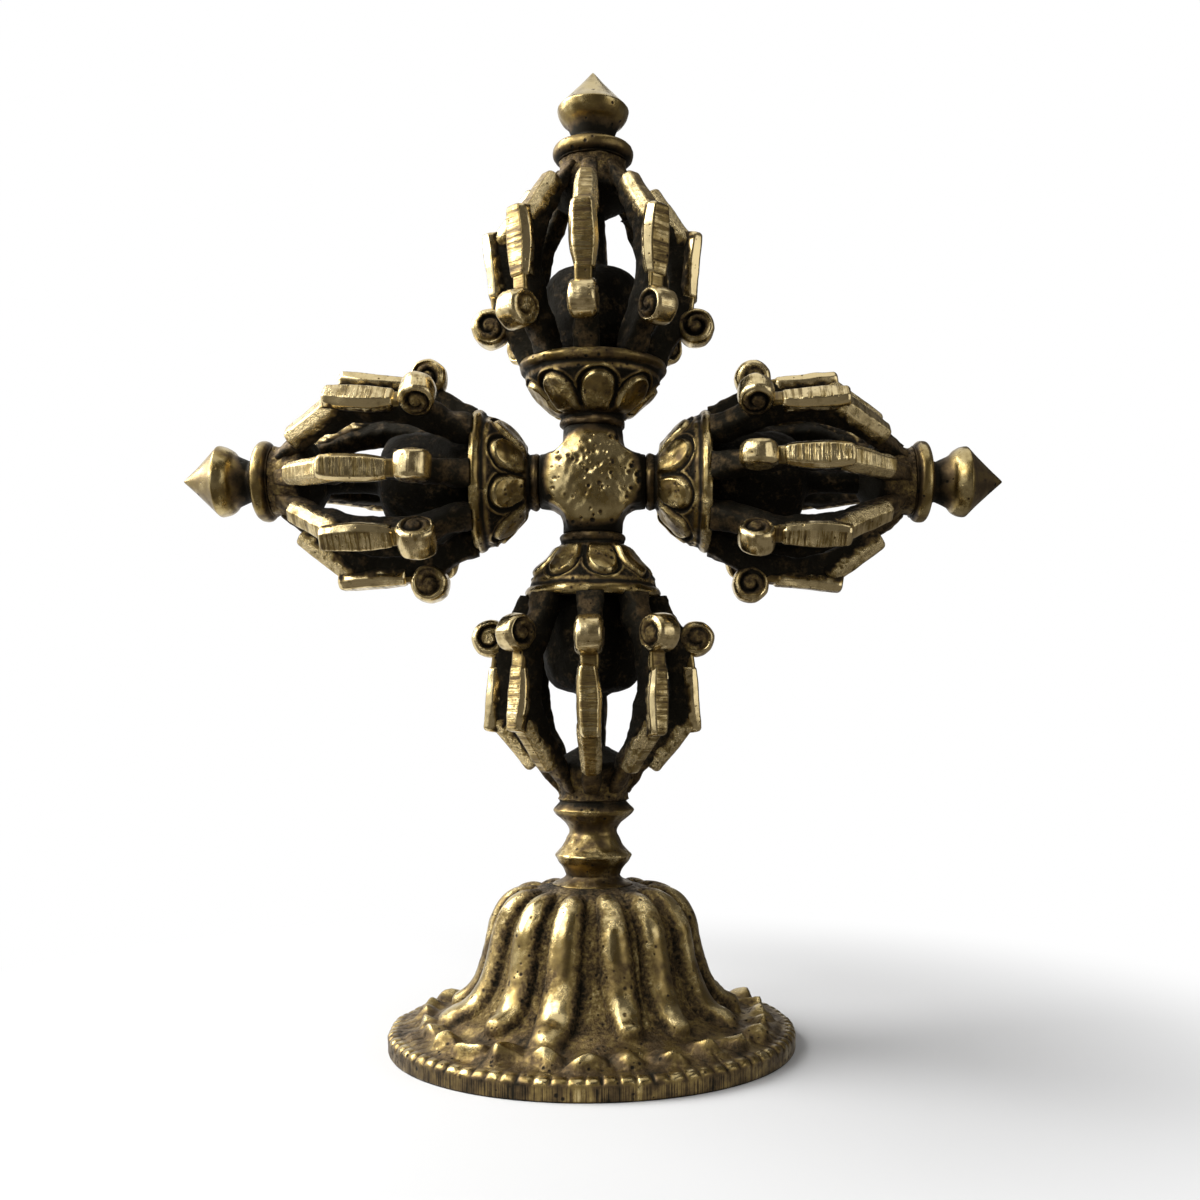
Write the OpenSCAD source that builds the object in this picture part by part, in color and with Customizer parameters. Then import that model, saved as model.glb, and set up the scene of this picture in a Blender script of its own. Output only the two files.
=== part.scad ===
// Crossed vajra of four caged arms on a lotus pedestal, cast and filed brass.
// Millimetres. Z is up, X runs along the two level arms, the front faces -Y.
// Every arm is drawn along +Z from the hub centre and then turned into place.

/* [Hub] */
// distance from the hub centre to the seat of each cup
hub_half = 6.5; // [6.2:0.1:7]
// radius of the four round necks
neck_r = 3.5; // [3.3:0.1:3.8]
// half thickness of the cushion from front to back
hub_depth = 5.3; // [4.6:0.1:6]
// radius of the hollow corners between two necks
hub_hollow_r = 2.8; // [2.5:0.1:3]
// radius of the domed front and back of the cushion
hub_dome_r = 14; // [11:0.5:18]

/* [Cup] */
// height of a cup from its seat on the hub to its flat top
cup_h = 8; // [7.2:0.1:9]
// radius of the cup at the rim bead
cup_rim_r = 9.15; // [8.9:0.05:9.8]
// height of the rim bead
cup_rim_h = 1.4; // [1:0.1:1.8]
// radius of the small ring between neck and bowl
cup_ring_r = 4.1; // [3.9:0.05:4.4]
// height of the small ring
cup_ring_h = 1.2; // [0.9:0.1:1.5]
// bulge of the bowl outside a straight cone
cup_bulge = 0.9; // [0.6:0.05:1.2]
// number of petals round a bowl
petal_n = 8; // [6:1:8]
// height of a petal above the bowl
petal_h = 0.45; // [0.2:0.05:0.6]
// half width of a petal near the rim
petal_r = 2.1; // [1.8:0.05:2.2]

/* [Core] */
// radius of the bud inside the cage
bud_r = 6; // [5:0.1:6.4]
// length of the bud above the cup
bud_h = 11.6; // [9:0.1:13]
// radius of the rounded edge at the end of the bud
bud_round = 2.6; // [1.5:0.1:3.5]
// radius of the spindle that carries on to the crown
spindle_r = 1.5; // [1.2:0.1:1.7]

/* [Cage] */
// distance from the flat top of a cup to the collar seat of its crown
cage_h = 24.9; // [24.5:0.1:25.6]
// thickness of the web of a prong
web_t = 2.7; // [2.3:0.1:3]
// radius of the inner edge of the web where it is widest
web_in_r = 9.4; // [9.2:0.1:9.7]
// radius of the arc that the inner edge follows
web_arc_r = 12; // [11.6:0.1:12.4]
// distance of the widest place below the collar seat of the crown
web_mid_down = 14.4; // [14.2:0.1:14.7]
// distance of the scroll centre from the arm axis
scroll_out = 12.9; // [12.6:0.1:13.2]
// height of the scroll centre above the cup
scroll_up = 5.8; // [5.4:0.1:6.2]
// radius of the scroll drum
scroll_r = 2.3; // [2:0.05:2.5]
// width of the scroll drum
scroll_w = 3.8; // [3.4:0.1:4.1]
// depth of the spiral groove in each side of the drum
spiral_d = 0.3; // [0.1:0.05:0.4]
// height where the long bar begins above the cup
bar_up = 9; // [8.8:0.1:9.4]
// length of the long bar
bar_len = 7.8; // [7.2:0.1:8.2]
// outer radius of the long bar at the scroll end
bar_r0 = 12.9; // [12.7:0.05:13.2]
// outer radius of the long bar at the far end
bar_r1 = 13.8; // [13.4:0.05:14.1]
// greatest width of the long bar
bar_w = 3.4; // [2.9:0.1:3.8]
// width of its flat filed face
bar_flat = 2.1; // [1.6:0.1:2.4]
// width of the short bar at its near end
tip_w = 3; // [2.8:0.05:3.2]
// width of the short bar at its far end
tip_w_end = 2.4; // [2.2:0.05:2.6]
// thickness of foot tenons and tip tongues
tongue_t = 1.4; // [1.2:0.05:1.6]
// depth of a foot tenon below the flat top of the cup
tenon_d = 1.2; // [0.8:0.1:1.6]

/* [Crown] */
// largest radius of a crown
crown_r = 5.4; // [5.2:0.05:5.6]
// radius of the crown neck below the collar
crown_neck_r = 4.4; // [4.2:0.05:4.6]
// height of a crown
crown_h = 5.2; // [4.9:0.1:5.6]

/* [Finial] */
// radius of the collar on a finial and on the stem
collar_r = 5; // [4.7:0.1:5.4]
// thickness of the collar
collar_t = 1.9; // [1.5:0.1:2.2]
// length of a finial from collar seat to point
finial_h = 11.4; // [10.5:0.1:12.5]
// radius of the finial neck
finial_neck_r = 2.4; // [2.1:0.1:2.8]
// radius of the knob at its widest
knob_r = 4.3; // [3.9:0.1:4.8]
// length of the pointed cone
point_h = 4.9; // [4.2:0.1:5.4]

/* [Stem] */
// length of the stem from collar seat to pedestal
stem_h = 10.6; // [10.2:0.1:12]
// radius of the stem waist
stem_waist_r = 2.9; // [2.6:0.1:3.2]
// radius of the sharp edged knop
knop_r = 4.7; // [4.3:0.1:5.2]
// radius of the lower waist
stem_low_r = 3.35; // [3.1:0.05:3.6]
// radius of the flare that stands on the pedestal
flare_r = 5; // [4.7:0.1:5.3]

/* [Pedestal] */
// height of the pedestal
ped_h = 19.6; // [18.8:0.1:20.4]
// radius of the pedestal rim
ped_r = 25; // [24.5:0.1:27]
// height of the upright rim wall
rim_h = 2.2; // [1.8:0.1:2.4]
// number of lobes on the bell
lobe_n = 14; // [12:1:16]
// how far a lobe stands out of the bell
lobe_d = 1.5; // [0.9:0.1:1.7]
// share of its pitch that a lobe fills
lobe_share = 0.74; // [0.7:0.02:0.96]
// height of the raised ring that edges the rim
bead_h = 0.5; // [0.3:0.05:0.7]
// radius of the ring of bumps on the skirt
bump_ring_r = 21; // [20.6:0.1:21.2]
// radius of a bump
bump_r = 1.6; // [1.3:0.05:1.8]
// wall thickness over the hollow
ped_wall = 2.4; // [2:0.1:2.8]
// width of the flat ring that the pedestal rests on
foot_w = 3; // [2.4:0.1:3.6]

/* [Joints] */
// gap on each side of a peg, tenon or tongue
fit = 0.05; // [0.03:0.01:0.1]
// gap between a bud and the webs round it
bud_gap = 0.15; // [0.1:0.05:0.3]
// radius of the spigot that joins a cup to the hub
spigot_r = 2.4; // [2.1:0.1:2.5]
// length of that spigot
spigot_h = 3; // [2.4:0.1:3.2]
// radius of the tenon below a bud
core_peg_r = 2.6; // [2:0.1:3]
// length of the tenon below a bud
core_peg_h = 3; // [2:0.1:4]
// radius of the peg of a finial or stem in its crown
cap_peg_r = 2; // [1.8:0.1:2.3]
// length of that peg
cap_peg_h = 2.2; // [1.6:0.1:2.6]
// radius of the stem tenon in the pedestal
foot_peg_r = 2.4; // [2:0.1:2.8]

/* [Hidden] */
ARMS = ["top", "right", "left", "bottom"];
TURNS = [[0, 0, 0], [0, 90, 0], [0, -90, 0], [180, 0, 0]];
prong_n = 8;
$fn = 96;

// stations along an arm, measured from the hub centre
rim_a = hub_half + cup_h;
crown_a = rim_a + cage_h;
crown_low_a = crown_a - crown_h;
stem_end_a = crown_a + stem_h;
hub_z = ped_h + stem_end_a;
finial_tip_a = crown_a + finial_h;

// centre of the bowl arc, from its two end points and its bulge
bowl_p = [cup_ring_r - 0.2, hub_half + cup_ring_h];
bowl_q = [cup_rim_r - 0.5, rim_a - cup_rim_h];
bowl_c = norm(bowl_q - bowl_p) / 2;
bowl_r = (bowl_c * bowl_c + cup_bulge * cup_bulge) / (2 * cup_bulge);
bowl_n = [bowl_p[1] - bowl_q[1], bowl_q[0] - bowl_p[0]] / (2 * bowl_c);
bowl_o = (bowl_p + bowl_q) / 2 + (bowl_r - cup_bulge) * bowl_n;
bowl_tilt = atan2(bowl_n[1], -bowl_n[0]);

// inner arc of a web, and the outer stations of a prong
web_o = [web_in_r - web_arc_r, crown_a - web_mid_down];
web_low_r = bud_r + bud_gap;
scroll_a = rim_a + scroll_up;
bar_a0 = rim_a + bar_up;
bar_a1 = bar_a0 + bar_len;
bar_back_r = bar_r0 - 1.3;
tip_a1 = crown_a - 2.9;
tip_r0 = bar_r1 - 2.3;
tip_r1 = crown_r + 2.4;
tongue_top_a = crown_a - 0.8;
tongue_in_r = crown_neck_r - 1;
foot_in_r = cup_rim_r - 1.6;
foot_out_r = cup_rim_r - 0.7;

// bell of the pedestal
bell_top_r = flare_r + 0.3;
bell_low_r = ped_r - 6.4;
bell_low_z = rim_h + 1.3;
skirt_rise = 0.31;
skirt_in_r = bell_low_r - 4;
ped_roof_z = ped_h - ped_wall - 1;
hollow_r = ped_r - foot_w;
lobe_steps = 8;
bell_cols = lobe_n * lobe_steps;
// groove line as shares of the bell's width and height, with the share of the lobe depth there
BELL = [
  [0, 1, 0],
  [0.17, 0.955, 0.6],
  [0.34, 0.865, 1],
  [0.45, 0.725, 1],
  [0.5, 0.575, 0.95],
  [0.55, 0.415, 0.9],
  [0.63, 0.255, 0.9],
  [0.74, 0.13, 1],
  [0.87, 0.07, 0.85],
  [1, 0, 0]
];
bell_last = len(BELL) - 1;
bell_rows = 2 * bell_last;

// a smooth curve through four neighbouring stations
function smooth(p, q, r, s, t) =
  0.5 * (2 * q + (r - p) * t + (2 * p - 5 * q + 4 * r - s) * t * t
    + (3 * q - p - 3 * r + s) * t * t * t);
function bell_pick(i) = BELL[max(0, min(bell_last, i))];
function bell_at(v) =
  let (i = floor(v))
  smooth(bell_pick(i - 1), bell_pick(i), bell_pick(i + 1), bell_pick(i + 2), v - i);
function groove(v) =
  let (b = bell_at(v))
  [bell_top_r + b[0] * (bell_low_r - bell_top_r), bell_low_z + b[1] * (ped_h - bell_low_z)];
// point of the bell at station v and column j, raised along the normal of the groove line
function bell_point(v, j) =
  let (
    step = groove(v + 0.01) - groove(v - 0.01),
    across = min(1, abs(2 * (j % lobe_steps) / lobe_steps - 1) / lobe_share),
    lift = lobe_d * max(0, bell_at(v)[2]) * pow(1 - across * across, 0.6) / norm(step),
    p = groove(v) + lift * [-step[1], step[0]],
    turn = j * 360 / bell_cols - 90
  )
  [p[0] * cos(turn), p[0] * sin(turn), p[1]];

// turns a piece drawn along +Z into arm i
module on_arm(i) {
  translate([0, 0, hub_z])
    rotate(TURNS[i])
      children();
}

// stands a drawing of radius against height upright and gives it a thickness
module slab(t) {
  rotate([90, 0, 0])
    linear_extrude(height = t, center = true)
      children();
}

// cushion with hollow corners, four necks and four sockets
module hub() {
  corner = neck_r - 0.3 + hub_hollow_r;
  reach = hub_half - 0.4;
  color([0.72, 0.58, 0.28])
    difference() {
      union() {
        intersection() {
          slab(4 * hub_depth)
            difference() {
              square(2 * reach, center = true);
              for (sx = [-1, 1], sz = [-1, 1])
                translate([sx * corner, sz * corner])
                  circle(hub_hollow_r);
            }
          translate([0, hub_dome_r - hub_depth, 0])
            sphere(hub_dome_r);
          translate([0, hub_depth - hub_dome_r, 0])
            sphere(hub_dome_r);
        }
        for (turn = TURNS)
          rotate(turn)
            cylinder(r = neck_r, h = hub_half);
      }
      for (turn = TURNS)
        rotate(turn)
          translate([0, 0, hub_half - spigot_h - fit])
            cylinder(r = spigot_r + fit, h = spigot_h + 1);
    }
}

// solid of the bowl, raised by lift above its own surface
module bowl(lift) {
  rotate_extrude()
    intersection() {
      translate(bowl_o)
        circle(bowl_r + lift);
      translate([0, bowl_p[1]])
        square([cup_rim_r - 0.2, bowl_q[1] - bowl_p[1]]);
    }
}

// outline of one petal, its point towards the hub
module petal_outline() {
  translate([0, 0.9])
    circle(petal_r);
  polygon([[-petal_r, 0.9], [-1.4, -3], [1.4, -3], [petal_r, 0.9]]);
}

// places an outline on the bowl, turned round the arm by angle
module on_bowl(angle) {
  rotate([0, 0, angle])
    translate([bowl_o[0], 0, bowl_o[1]])
      rotate([0, 90 + bowl_tilt, 0])
        rotate([0, 0, 90])
          translate([0, 0, bowl_r - 1])
            linear_extrude(height = 3)
              children();
}

// lotus cup: spigot, ring, petalled bowl, rim bead, mortises and bore
module cup() {
  ring_a = hub_half + cup_ring_h;
  color([0.66, 0.53, 0.26])
    difference() {
      union() {
        translate([0, 0, hub_half - spigot_h])
          cylinder(r = spigot_r, h = spigot_h + 1);
        rotate_extrude()
          polygon([
            [0, hub_half],
            [neck_r - 0.1, hub_half],
            [cup_ring_r, hub_half + 0.35 * cup_ring_h],
            [cup_ring_r, hub_half + 0.65 * cup_ring_h],
            [cup_ring_r - 0.2, ring_a],
            [cup_ring_r - 0.2, ring_a + 0.3],
            [0, ring_a + 0.3]
          ]);
        bowl(0);
        intersection() {
          bowl(petal_h);
          union()
            for (k = [0:petal_n - 1])
              on_bowl((k + 0.5) * 360 / petal_n)
                petal_outline();
        }
        rotate_extrude()
          polygon([
            [0, bowl_q[1]],
            [bowl_q[0] - 0.1, bowl_q[1]],
            [cup_rim_r, bowl_q[1] + 0.3 * cup_rim_h],
            [cup_rim_r, bowl_q[1] + 0.75 * cup_rim_h],
            [cup_rim_r - 0.35, rim_a],
            [0, rim_a]
          ]);
      }
      translate([0, 0, rim_a - core_peg_h - fit])
        cylinder(r = core_peg_r + fit, h = core_peg_h + 1);
      for (k = [0:prong_n - 1])
        rotate([0, 0, k * 360 / prong_n])
          translate([foot_in_r - fit, -tongue_t / 2 - fit, rim_a - tenon_d - fit])
            cube([foot_out_r - foot_in_r + 2 * fit, tongue_t + 2 * fit, tenon_d + 1]);
    }
}

// bud and spindle inside a cage
module core() {
  color([0.2, 0.17, 0.11])
    union() {
      translate([0, 0, rim_a - core_peg_h])
        cylinder(r = core_peg_r, h = core_peg_h + 1);
      rotate_extrude() {
        translate([0, rim_a])
          square([bud_r, bud_h - bud_round]);
        translate([0, rim_a])
          square([bud_r - bud_round, bud_h]);
        intersection() {
          translate([bud_r - bud_round, rim_a + bud_h - bud_round])
            circle(bud_round);
          translate([0, rim_a])
            square([bud_r, bud_h]);
        }
      }
      translate([0, 0, rim_a + bud_h - 1])
        cylinder(r = spindle_r, h = crown_a - cap_peg_h - 0.4 - rim_a - bud_h + 1);
    }
}

// web of a prong: outer outline less the arc of the inner edge
module web_outline() {
  difference() {
    polygon([
      [web_low_r, rim_a],
      [cup_rim_r - 0.4, rim_a],
      [cup_rim_r + 0.3, rim_a + 1.2],
      [scroll_out, scroll_a - 1.6],
      [scroll_out, scroll_a],
      [bar_r0 - 0.5, bar_a0],
      [bar_r0 - 0.5, bar_a1 - 0.4],
      [tip_r0 - 0.6, bar_a1],
      [tip_r1 - 0.7, tip_a1],
      [crown_r + 0.2, tip_a1 + 1.2],
      [crown_r + 0.2, bar_a1],
      [web_low_r, bar_a1]
    ]);
    translate(web_o)
      circle(web_arc_r, $fn = 240);
    translate([scroll_out + 0.3, rim_a + 0.7])
      circle(scroll_out - cup_rim_r - 0.15);
  }
}

// thin tip of a web that enters the crown
module tongue_outline() {
  difference() {
    polygon([
      [tongue_in_r, crown_low_a],
      [crown_r + 1, crown_low_a],
      [crown_r + 1, tip_a1 + 0.6],
      [crown_r + 0.2, tip_a1 + 1.1],
      [crown_neck_r + 0.1, tongue_top_a],
      [tongue_in_r, tongue_top_a]
    ]);
    translate(web_o)
      circle(web_arc_r, $fn = 240);
  }
}

// groove of the volute, drawn with four half circles
module spiral_outline() {
  w = 0.12 * scroll_r;
  for (k = [0:3]) {
    rad = scroll_r * (0.86 - 0.18 * k);
    side = k % 2 == 0 ? 1 : -1;
    translate([side * 0.09 * scroll_r, 0])
      intersection() {
        difference() {
          circle(rad);
          circle(rad - w);
        }
        translate([-2 * scroll_r, side > 0 ? 0 : -2 * scroll_r])
          square([4 * scroll_r, 2 * scroll_r]);
      }
  }
}

// scroll drum with a spiral groove in both sides
module scroll() {
  translate([scroll_out, 0, scroll_a])
    difference() {
      slab(scroll_w)
        circle(scroll_r);
      for (side = [-1, 1])
        translate([0, side * (scroll_w / 2 + 1 - spiral_d), 0])
          slab(2)
            spiral_outline();
    }
}

// long bar: side outline, lens shaped front and filed bevels together
module long_bar() {
  mid = (bar_a0 + bar_a1) / 2;
  lens_r = 12;
  intersection() {
    slab(2 * bar_w)
      polygon([
        [bar_back_r, bar_a0],
        [bar_r0, bar_a0],
        [bar_r1, bar_a1 - 0.7],
        [bar_r1 - 0.5, bar_a1],
        [bar_back_r, bar_a1]
      ]);
    translate([bar_back_r - 1, 0, mid])
      rotate([0, 90, 0])
        linear_extrude(height = 6)
          intersection() {
            translate([0, bar_w / 2 - lens_r])
              circle(lens_r);
            translate([0, lens_r - bar_w / 2])
              circle(lens_r);
          }
    translate([0, 0, bar_a0 - 1])
      linear_extrude(height = bar_len + 2)
        polygon([
          [bar_back_r - 1, -bar_w],
          [bar_r0 - 0.9, -bar_w / 2],
          [bar_r1, -bar_flat / 2],
          [bar_r1, bar_flat / 2],
          [bar_r0 - 0.9, bar_w / 2],
          [bar_back_r - 1, bar_w]
        ]);
  }
}

// short bar that slopes down to the crown and narrows
module short_bar() {
  mid = bar_a1 - 0.5;
  intersection() {
    slab(2 * tip_w)
      polygon([
        [bar_back_r - 0.4, mid],
        [tip_r0 + 0.4, mid],
        [tip_r1, tip_a1 - 0.4],
        [tip_r1 - 0.7, tip_a1 + 0.2],
        [tip_r1 - 1.1, tip_a1 - 0.5]
      ]);
    translate([tip_r1 - 2, 0, 0])
      rotate([90, 0, 90])
        linear_extrude(height = 10)
          polygon([
            [-tip_w / 2, mid],
            [tip_w / 2, mid],
            [tip_w_end / 2, tip_a1 + 0.3],
            [-tip_w_end / 2, tip_a1 + 0.3]
          ]);
  }
}

// one prong with foot tenon, web, scroll, bars and tip tongue
module prong() {
  color([0.78, 0.63, 0.3])
    union() {
      slab(web_t)
        web_outline();
      translate([foot_in_r, -tongue_t / 2, rim_a - tenon_d])
        cube([foot_out_r - foot_in_r, tongue_t, tenon_d + 0.5]);
      slab(tongue_t)
        tongue_outline();
      scroll();
      long_bar();
      short_bar();
    }
}

// slotted cap that gathers the eight tongues
module crown() {
  color([0.45, 0.36, 0.24])
    difference() {
      rotate_extrude()
        polygon([
          [0, crown_low_a],
          [crown_r - 0.7, crown_low_a],
          [crown_r - 0.1, crown_low_a + 0.5],
          [crown_r, crown_low_a + 1.4],
          [crown_r - 0.4, crown_low_a + 2.8],
          [crown_neck_r, crown_low_a + 3.9],
          [crown_neck_r, crown_a],
          [0, crown_a]
        ]);
      translate([0, 0, crown_low_a - 1])
        cylinder(r = spindle_r + fit, h = crown_h + 2);
      translate([0, 0, crown_a - cap_peg_h - fit])
        cylinder(r = cap_peg_r + fit, h = cap_peg_h + 1);
      for (k = [0:prong_n - 1])
        rotate([0, 0, k * 360 / prong_n])
          slab(tongue_t + 2 * fit)
            difference() {
              translate([tongue_in_r - fit, crown_low_a - 1])
                square([4, tongue_top_a + fit - crown_low_a + 1]);
              translate(web_o)
                circle(web_arc_r - fit, $fn = 240);
            }
    }
}

// collar, neck, knob and point above a crown
module finial() {
  knob_a = finial_tip_a - point_h;
  neck_a = crown_a + collar_t;
  color([0.7, 0.56, 0.27])
    rotate_extrude()
      polygon([
        [0, crown_a - cap_peg_h],
        [cap_peg_r, crown_a - cap_peg_h],
        [cap_peg_r, crown_a],
        [crown_neck_r - 0.2, crown_a],
        [collar_r, crown_a + 0.4 * collar_t],
        [collar_r, crown_a + 0.75 * collar_t],
        [collar_r - 0.6, neck_a],
        [finial_neck_r + 0.4, neck_a],
        [finial_neck_r, neck_a + 0.8],
        [finial_neck_r + 0.2, neck_a + 1.7],
        [knob_r - 0.9, knob_a - 1.8],
        [knob_r - 0.2, knob_a - 0.9],
        [knob_r, knob_a],
        [0, finial_tip_a]
      ]);
}

// waisted stem with knop between the lower crown and the pedestal
module stem() {
  neck_a = crown_a + collar_t;
  knop_a = stem_end_a - 4;
  low_a = stem_end_a - 1.4;
  peg_h = ped_h - ped_roof_z + 0.5;
  color([0.5, 0.4, 0.25])
    rotate_extrude()
      polygon([
        [0, crown_a - cap_peg_h],
        [cap_peg_r, crown_a - cap_peg_h],
        [cap_peg_r, crown_a],
        [crown_neck_r - 0.2, crown_a],
        [collar_r, crown_a + 0.4 * collar_t],
        [collar_r, crown_a + 0.75 * collar_t],
        [collar_r - 0.6, neck_a],
        [stem_waist_r + 0.4, neck_a],
        [stem_waist_r, neck_a + 1],
        [stem_waist_r, neck_a + 2],
        [stem_waist_r + 0.7, knop_a - 1],
        [knop_r, knop_a],
        [stem_low_r + 0.3, low_a - 1],
        [stem_low_r, low_a],
        [flare_r - 0.3, stem_end_a - 0.4],
        [flare_r, stem_end_a],
        [foot_peg_r, stem_end_a],
        [foot_peg_r, stem_end_a + peg_h],
        [0, stem_end_a + peg_h]
      ]);
}

// lobed bell as one closed skin, down to a flat face inside the skirt
module bell() {
  grid = [for (v = [0:bell_rows]) for (j = [0:bell_cols - 1]) bell_point(v / 2, j)];
  last = bell_rows * bell_cols;
  foot = [for (j = [0:bell_cols - 1]) [grid[last + j][0], grid[last + j][1], 0.5 * rim_h]];
  top_face = [for (j = [0:bell_cols - 1]) bell_cols - 1 - j];
  low_face = [for (j = [0:bell_cols - 1]) last + bell_cols + j];
  sides = [for (v = [0:bell_rows]) for (j = [0:bell_cols - 1])
    let (a = v * bell_cols + j, b = v * bell_cols + (j + 1) % bell_cols)
    [a, b, b + bell_cols, a + bell_cols]];
  polyhedron(concat(grid, foot), concat([top_face], sides, [low_face]));
}

// upright rim with its raised edge, and the skirt that climbs to the bell
module skirt() {
  rise = rim_h + skirt_rise * (ped_r - skirt_in_r);
  rotate_extrude()
    polygon([
      [0, 0],
      [ped_r, 0],
      [ped_r, rim_h],
      [ped_r - 0.4, rim_h + bead_h],
      [ped_r - 1.2, rim_h + bead_h + 0.2],
      [ped_r - 1.9, rim_h + skirt_rise * 1.9],
      [skirt_in_r, rise],
      [0, rise]
    ]);
  for (k = [0:2 * lobe_n - 1])
    rotate([0, 0, (k + 1) * 180 / lobe_n - 90])
      translate([bump_ring_r, 0, rim_h + skirt_rise * (ped_r - bump_ring_r) - 0.5])
        sphere(bump_r);
}

// lotus pedestal with a hollow beneath and a bore for the stem
module pedestal() {
  color([0.68, 0.54, 0.27])
    difference() {
      union() {
        skirt();
        bell();
      }
      rotate_extrude()
        polygon([
          [0, -1],
          [hollow_r, -1],
          [hollow_r, 0.3],
          [hollow_r - 1.4, rim_h + 1.7 - ped_wall],
          [bell_low_r - 4.4, rim_h + 3.2 - ped_wall],
          [groove(6)[0] + 0.8 - ped_wall, groove(6)[1] - 0.5],
          [groove(4)[0] + 0.2 - ped_wall, groove(4)[1]],
          [groove(3)[0] - ped_wall - 0.6, groove(3)[1] - 0.4],
          [groove(2)[0] - ped_wall - 0.8, ped_roof_z],
          [0, ped_roof_z]
        ]);
      translate([0, 0, ped_roof_z - 1])
        cylinder(r = foot_peg_r + fit, h = ped_h - ped_roof_z + 2);
    }
}

translate([0, 0, hub_z]) hub();
pedestal();
on_arm(3) stem();
for (i = [0:3]) {
  on_arm(i) cup();
  on_arm(i) core();
  on_arm(i) crown();
  for (k = [1:prong_n])
    on_arm(i) rotate([0, 0, (k - 1) * 360 / prong_n]) prong();
}
for (i = [0:2])
  on_arm(i) finial();
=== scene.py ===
"""Looks of a crossed vajra on a lotus pedestal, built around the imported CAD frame.

Every piece is a numpy surface in millimetres, written to its mesh in metres. An arm is worked out
along +Z from the hub centre, with x outwards and y around the arm, and then turned into place.
"""

import bpy
import numpy as np
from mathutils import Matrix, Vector


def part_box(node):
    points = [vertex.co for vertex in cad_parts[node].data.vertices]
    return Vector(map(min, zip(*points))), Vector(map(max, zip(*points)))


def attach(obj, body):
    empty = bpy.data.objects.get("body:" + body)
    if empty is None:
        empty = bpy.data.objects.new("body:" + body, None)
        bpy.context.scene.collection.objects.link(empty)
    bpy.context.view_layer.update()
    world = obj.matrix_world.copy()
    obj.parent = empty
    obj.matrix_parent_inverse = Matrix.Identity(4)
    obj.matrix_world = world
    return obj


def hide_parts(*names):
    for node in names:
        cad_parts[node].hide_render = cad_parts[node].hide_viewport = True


bl_info = {
    "name": "Crossed vajra",
    "version": (1, 0, 0),
    "blender": (4, 5, 0),
    "location": "View3D > Sidebar > Vajra",
    "description": "Builds the cast and filed brass of a crossed vajra on a lotus pedestal",
    "category": "Object",
}

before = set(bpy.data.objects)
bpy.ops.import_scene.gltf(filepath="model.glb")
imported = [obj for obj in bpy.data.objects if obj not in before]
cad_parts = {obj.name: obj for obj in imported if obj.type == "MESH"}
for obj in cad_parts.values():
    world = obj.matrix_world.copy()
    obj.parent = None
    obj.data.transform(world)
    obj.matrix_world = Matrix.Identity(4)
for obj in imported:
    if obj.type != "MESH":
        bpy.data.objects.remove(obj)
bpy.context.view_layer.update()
MM = 0.001
TAU = 2.0 * np.pi
ACROSS_ARM = np.array([1, 1, 0])


def span(node):
    """Lowest and highest corner of a CAD node in millimetres."""
    low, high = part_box(node)
    return np.array(low) / MM, np.array(high) / MM


ARMS = ("top", "right", "left", "bottom")
ARM_TURNS = {
    "top": np.array([[1, 0, 0], [0, 1, 0], [0, 0, 1]], float),
    "right": np.array([[0, 0, 1], [0, 1, 0], [-1, 0, 0]], float),
    "left": np.array([[0, 0, -1], [0, 1, 0], [1, 0, 0]], float),
    "bottom": np.array([[1, 0, 0], [0, -1, 0], [0, 0, -1]], float),
}
PRONGS_PER_ARM = 8
PETALS_PER_CUP = 8
LOBES = 14
WEDGES = 2 * LOBES
RIM_BEADS = 84

# Prongs that were set a little off their pitch, in degrees round the arm.
SET_OFF = {
    "top": {6: 3, 7: -3, 8: -6},
    "right": {6: 2, 7: -5, 8: -6},
    "left": {6: 4, 7: -2, 8: -2},
    "bottom": {2: 5, 4: -2},
}
# How far an arm's drums, long bars and tips were set towards the hub, in millimetres.
SET_IN = {
    "top": (1.5, 0.6, 1.1),
    "right": (0.8, 0.6, 1.0),
    "left": (0.0, 0.0, 0.3),
    "bottom": (0.8, 0.1, 1.2),
}
# Widths of an arm's drums, long bars and tips against the drawing.
PRONG_WIDE = {
    "top": (1.0, 1.12, 0.9),
    "right": (0.86, 1.02, 1.0),
    "left": (1.04, 1.14, 0.96),
    "bottom": (0.9, 0.86, 0.84),
}
# How rough an arm's tips were left, and how far its filed flats are darkened: painted shade standing for
# the dark surroundings that the flats mirror.
TIP_ROUGH = {"top": 0.3, "right": 0.45, "left": 0.4, "bottom": 0.8}
FLAT_PAINTED_SHADE = {"top": 0.22, "right": 0.04, "left": 0.06, "bottom": 0.15}
# How far each cup is turned on its seat, in degrees round the arm, and its width against the drawing.
CUP_TURN = {"top": -14, "right": 0, "left": 0, "bottom": 11}
CUP_SIZE = {"top": 1.0, "right": 0.96, "left": 0.96, "bottom": 0.92}
# How far each cup's rim has dulled, and the radius of the ring at its foot before it is narrowed.
RIM_DULL = {"top": 0.24, "right": 0.06, "left": 0.12, "bottom": 0.06}
RING_R = {"top": 4.05, "right": 3.66, "left": 3.66, "bottom": 4.4}
# How far the brass of each finial is darkened on its collar, its shoulder and its point: patina on the
# collars and the left point, painted shade on the shoulders' undersides and on the right point, which
# faces away from the light.
FINIAL_PATINA_AND_SHADE = {"top": (0.3, 0.14, 0.0), "right": (0.14, 0.06, 0.42), "left": (0.16, 0.1, 0.22)}

# First random seed of each kind of piece, and the steps from arm to arm and from prong to prong.
HUB_SEED = 11
CUP_SEED = 100
CORE_SEED = 200
CROWN_SEED = 300
FINIAL_SEED = 400
STEM_SEED = 500
PEDESTAL_SEED = 600
ARM_STEP = 10
PRONG_SEED = 1000
PRONG_ARM_STEP = 400
PRONG_STEP = 40

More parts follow.
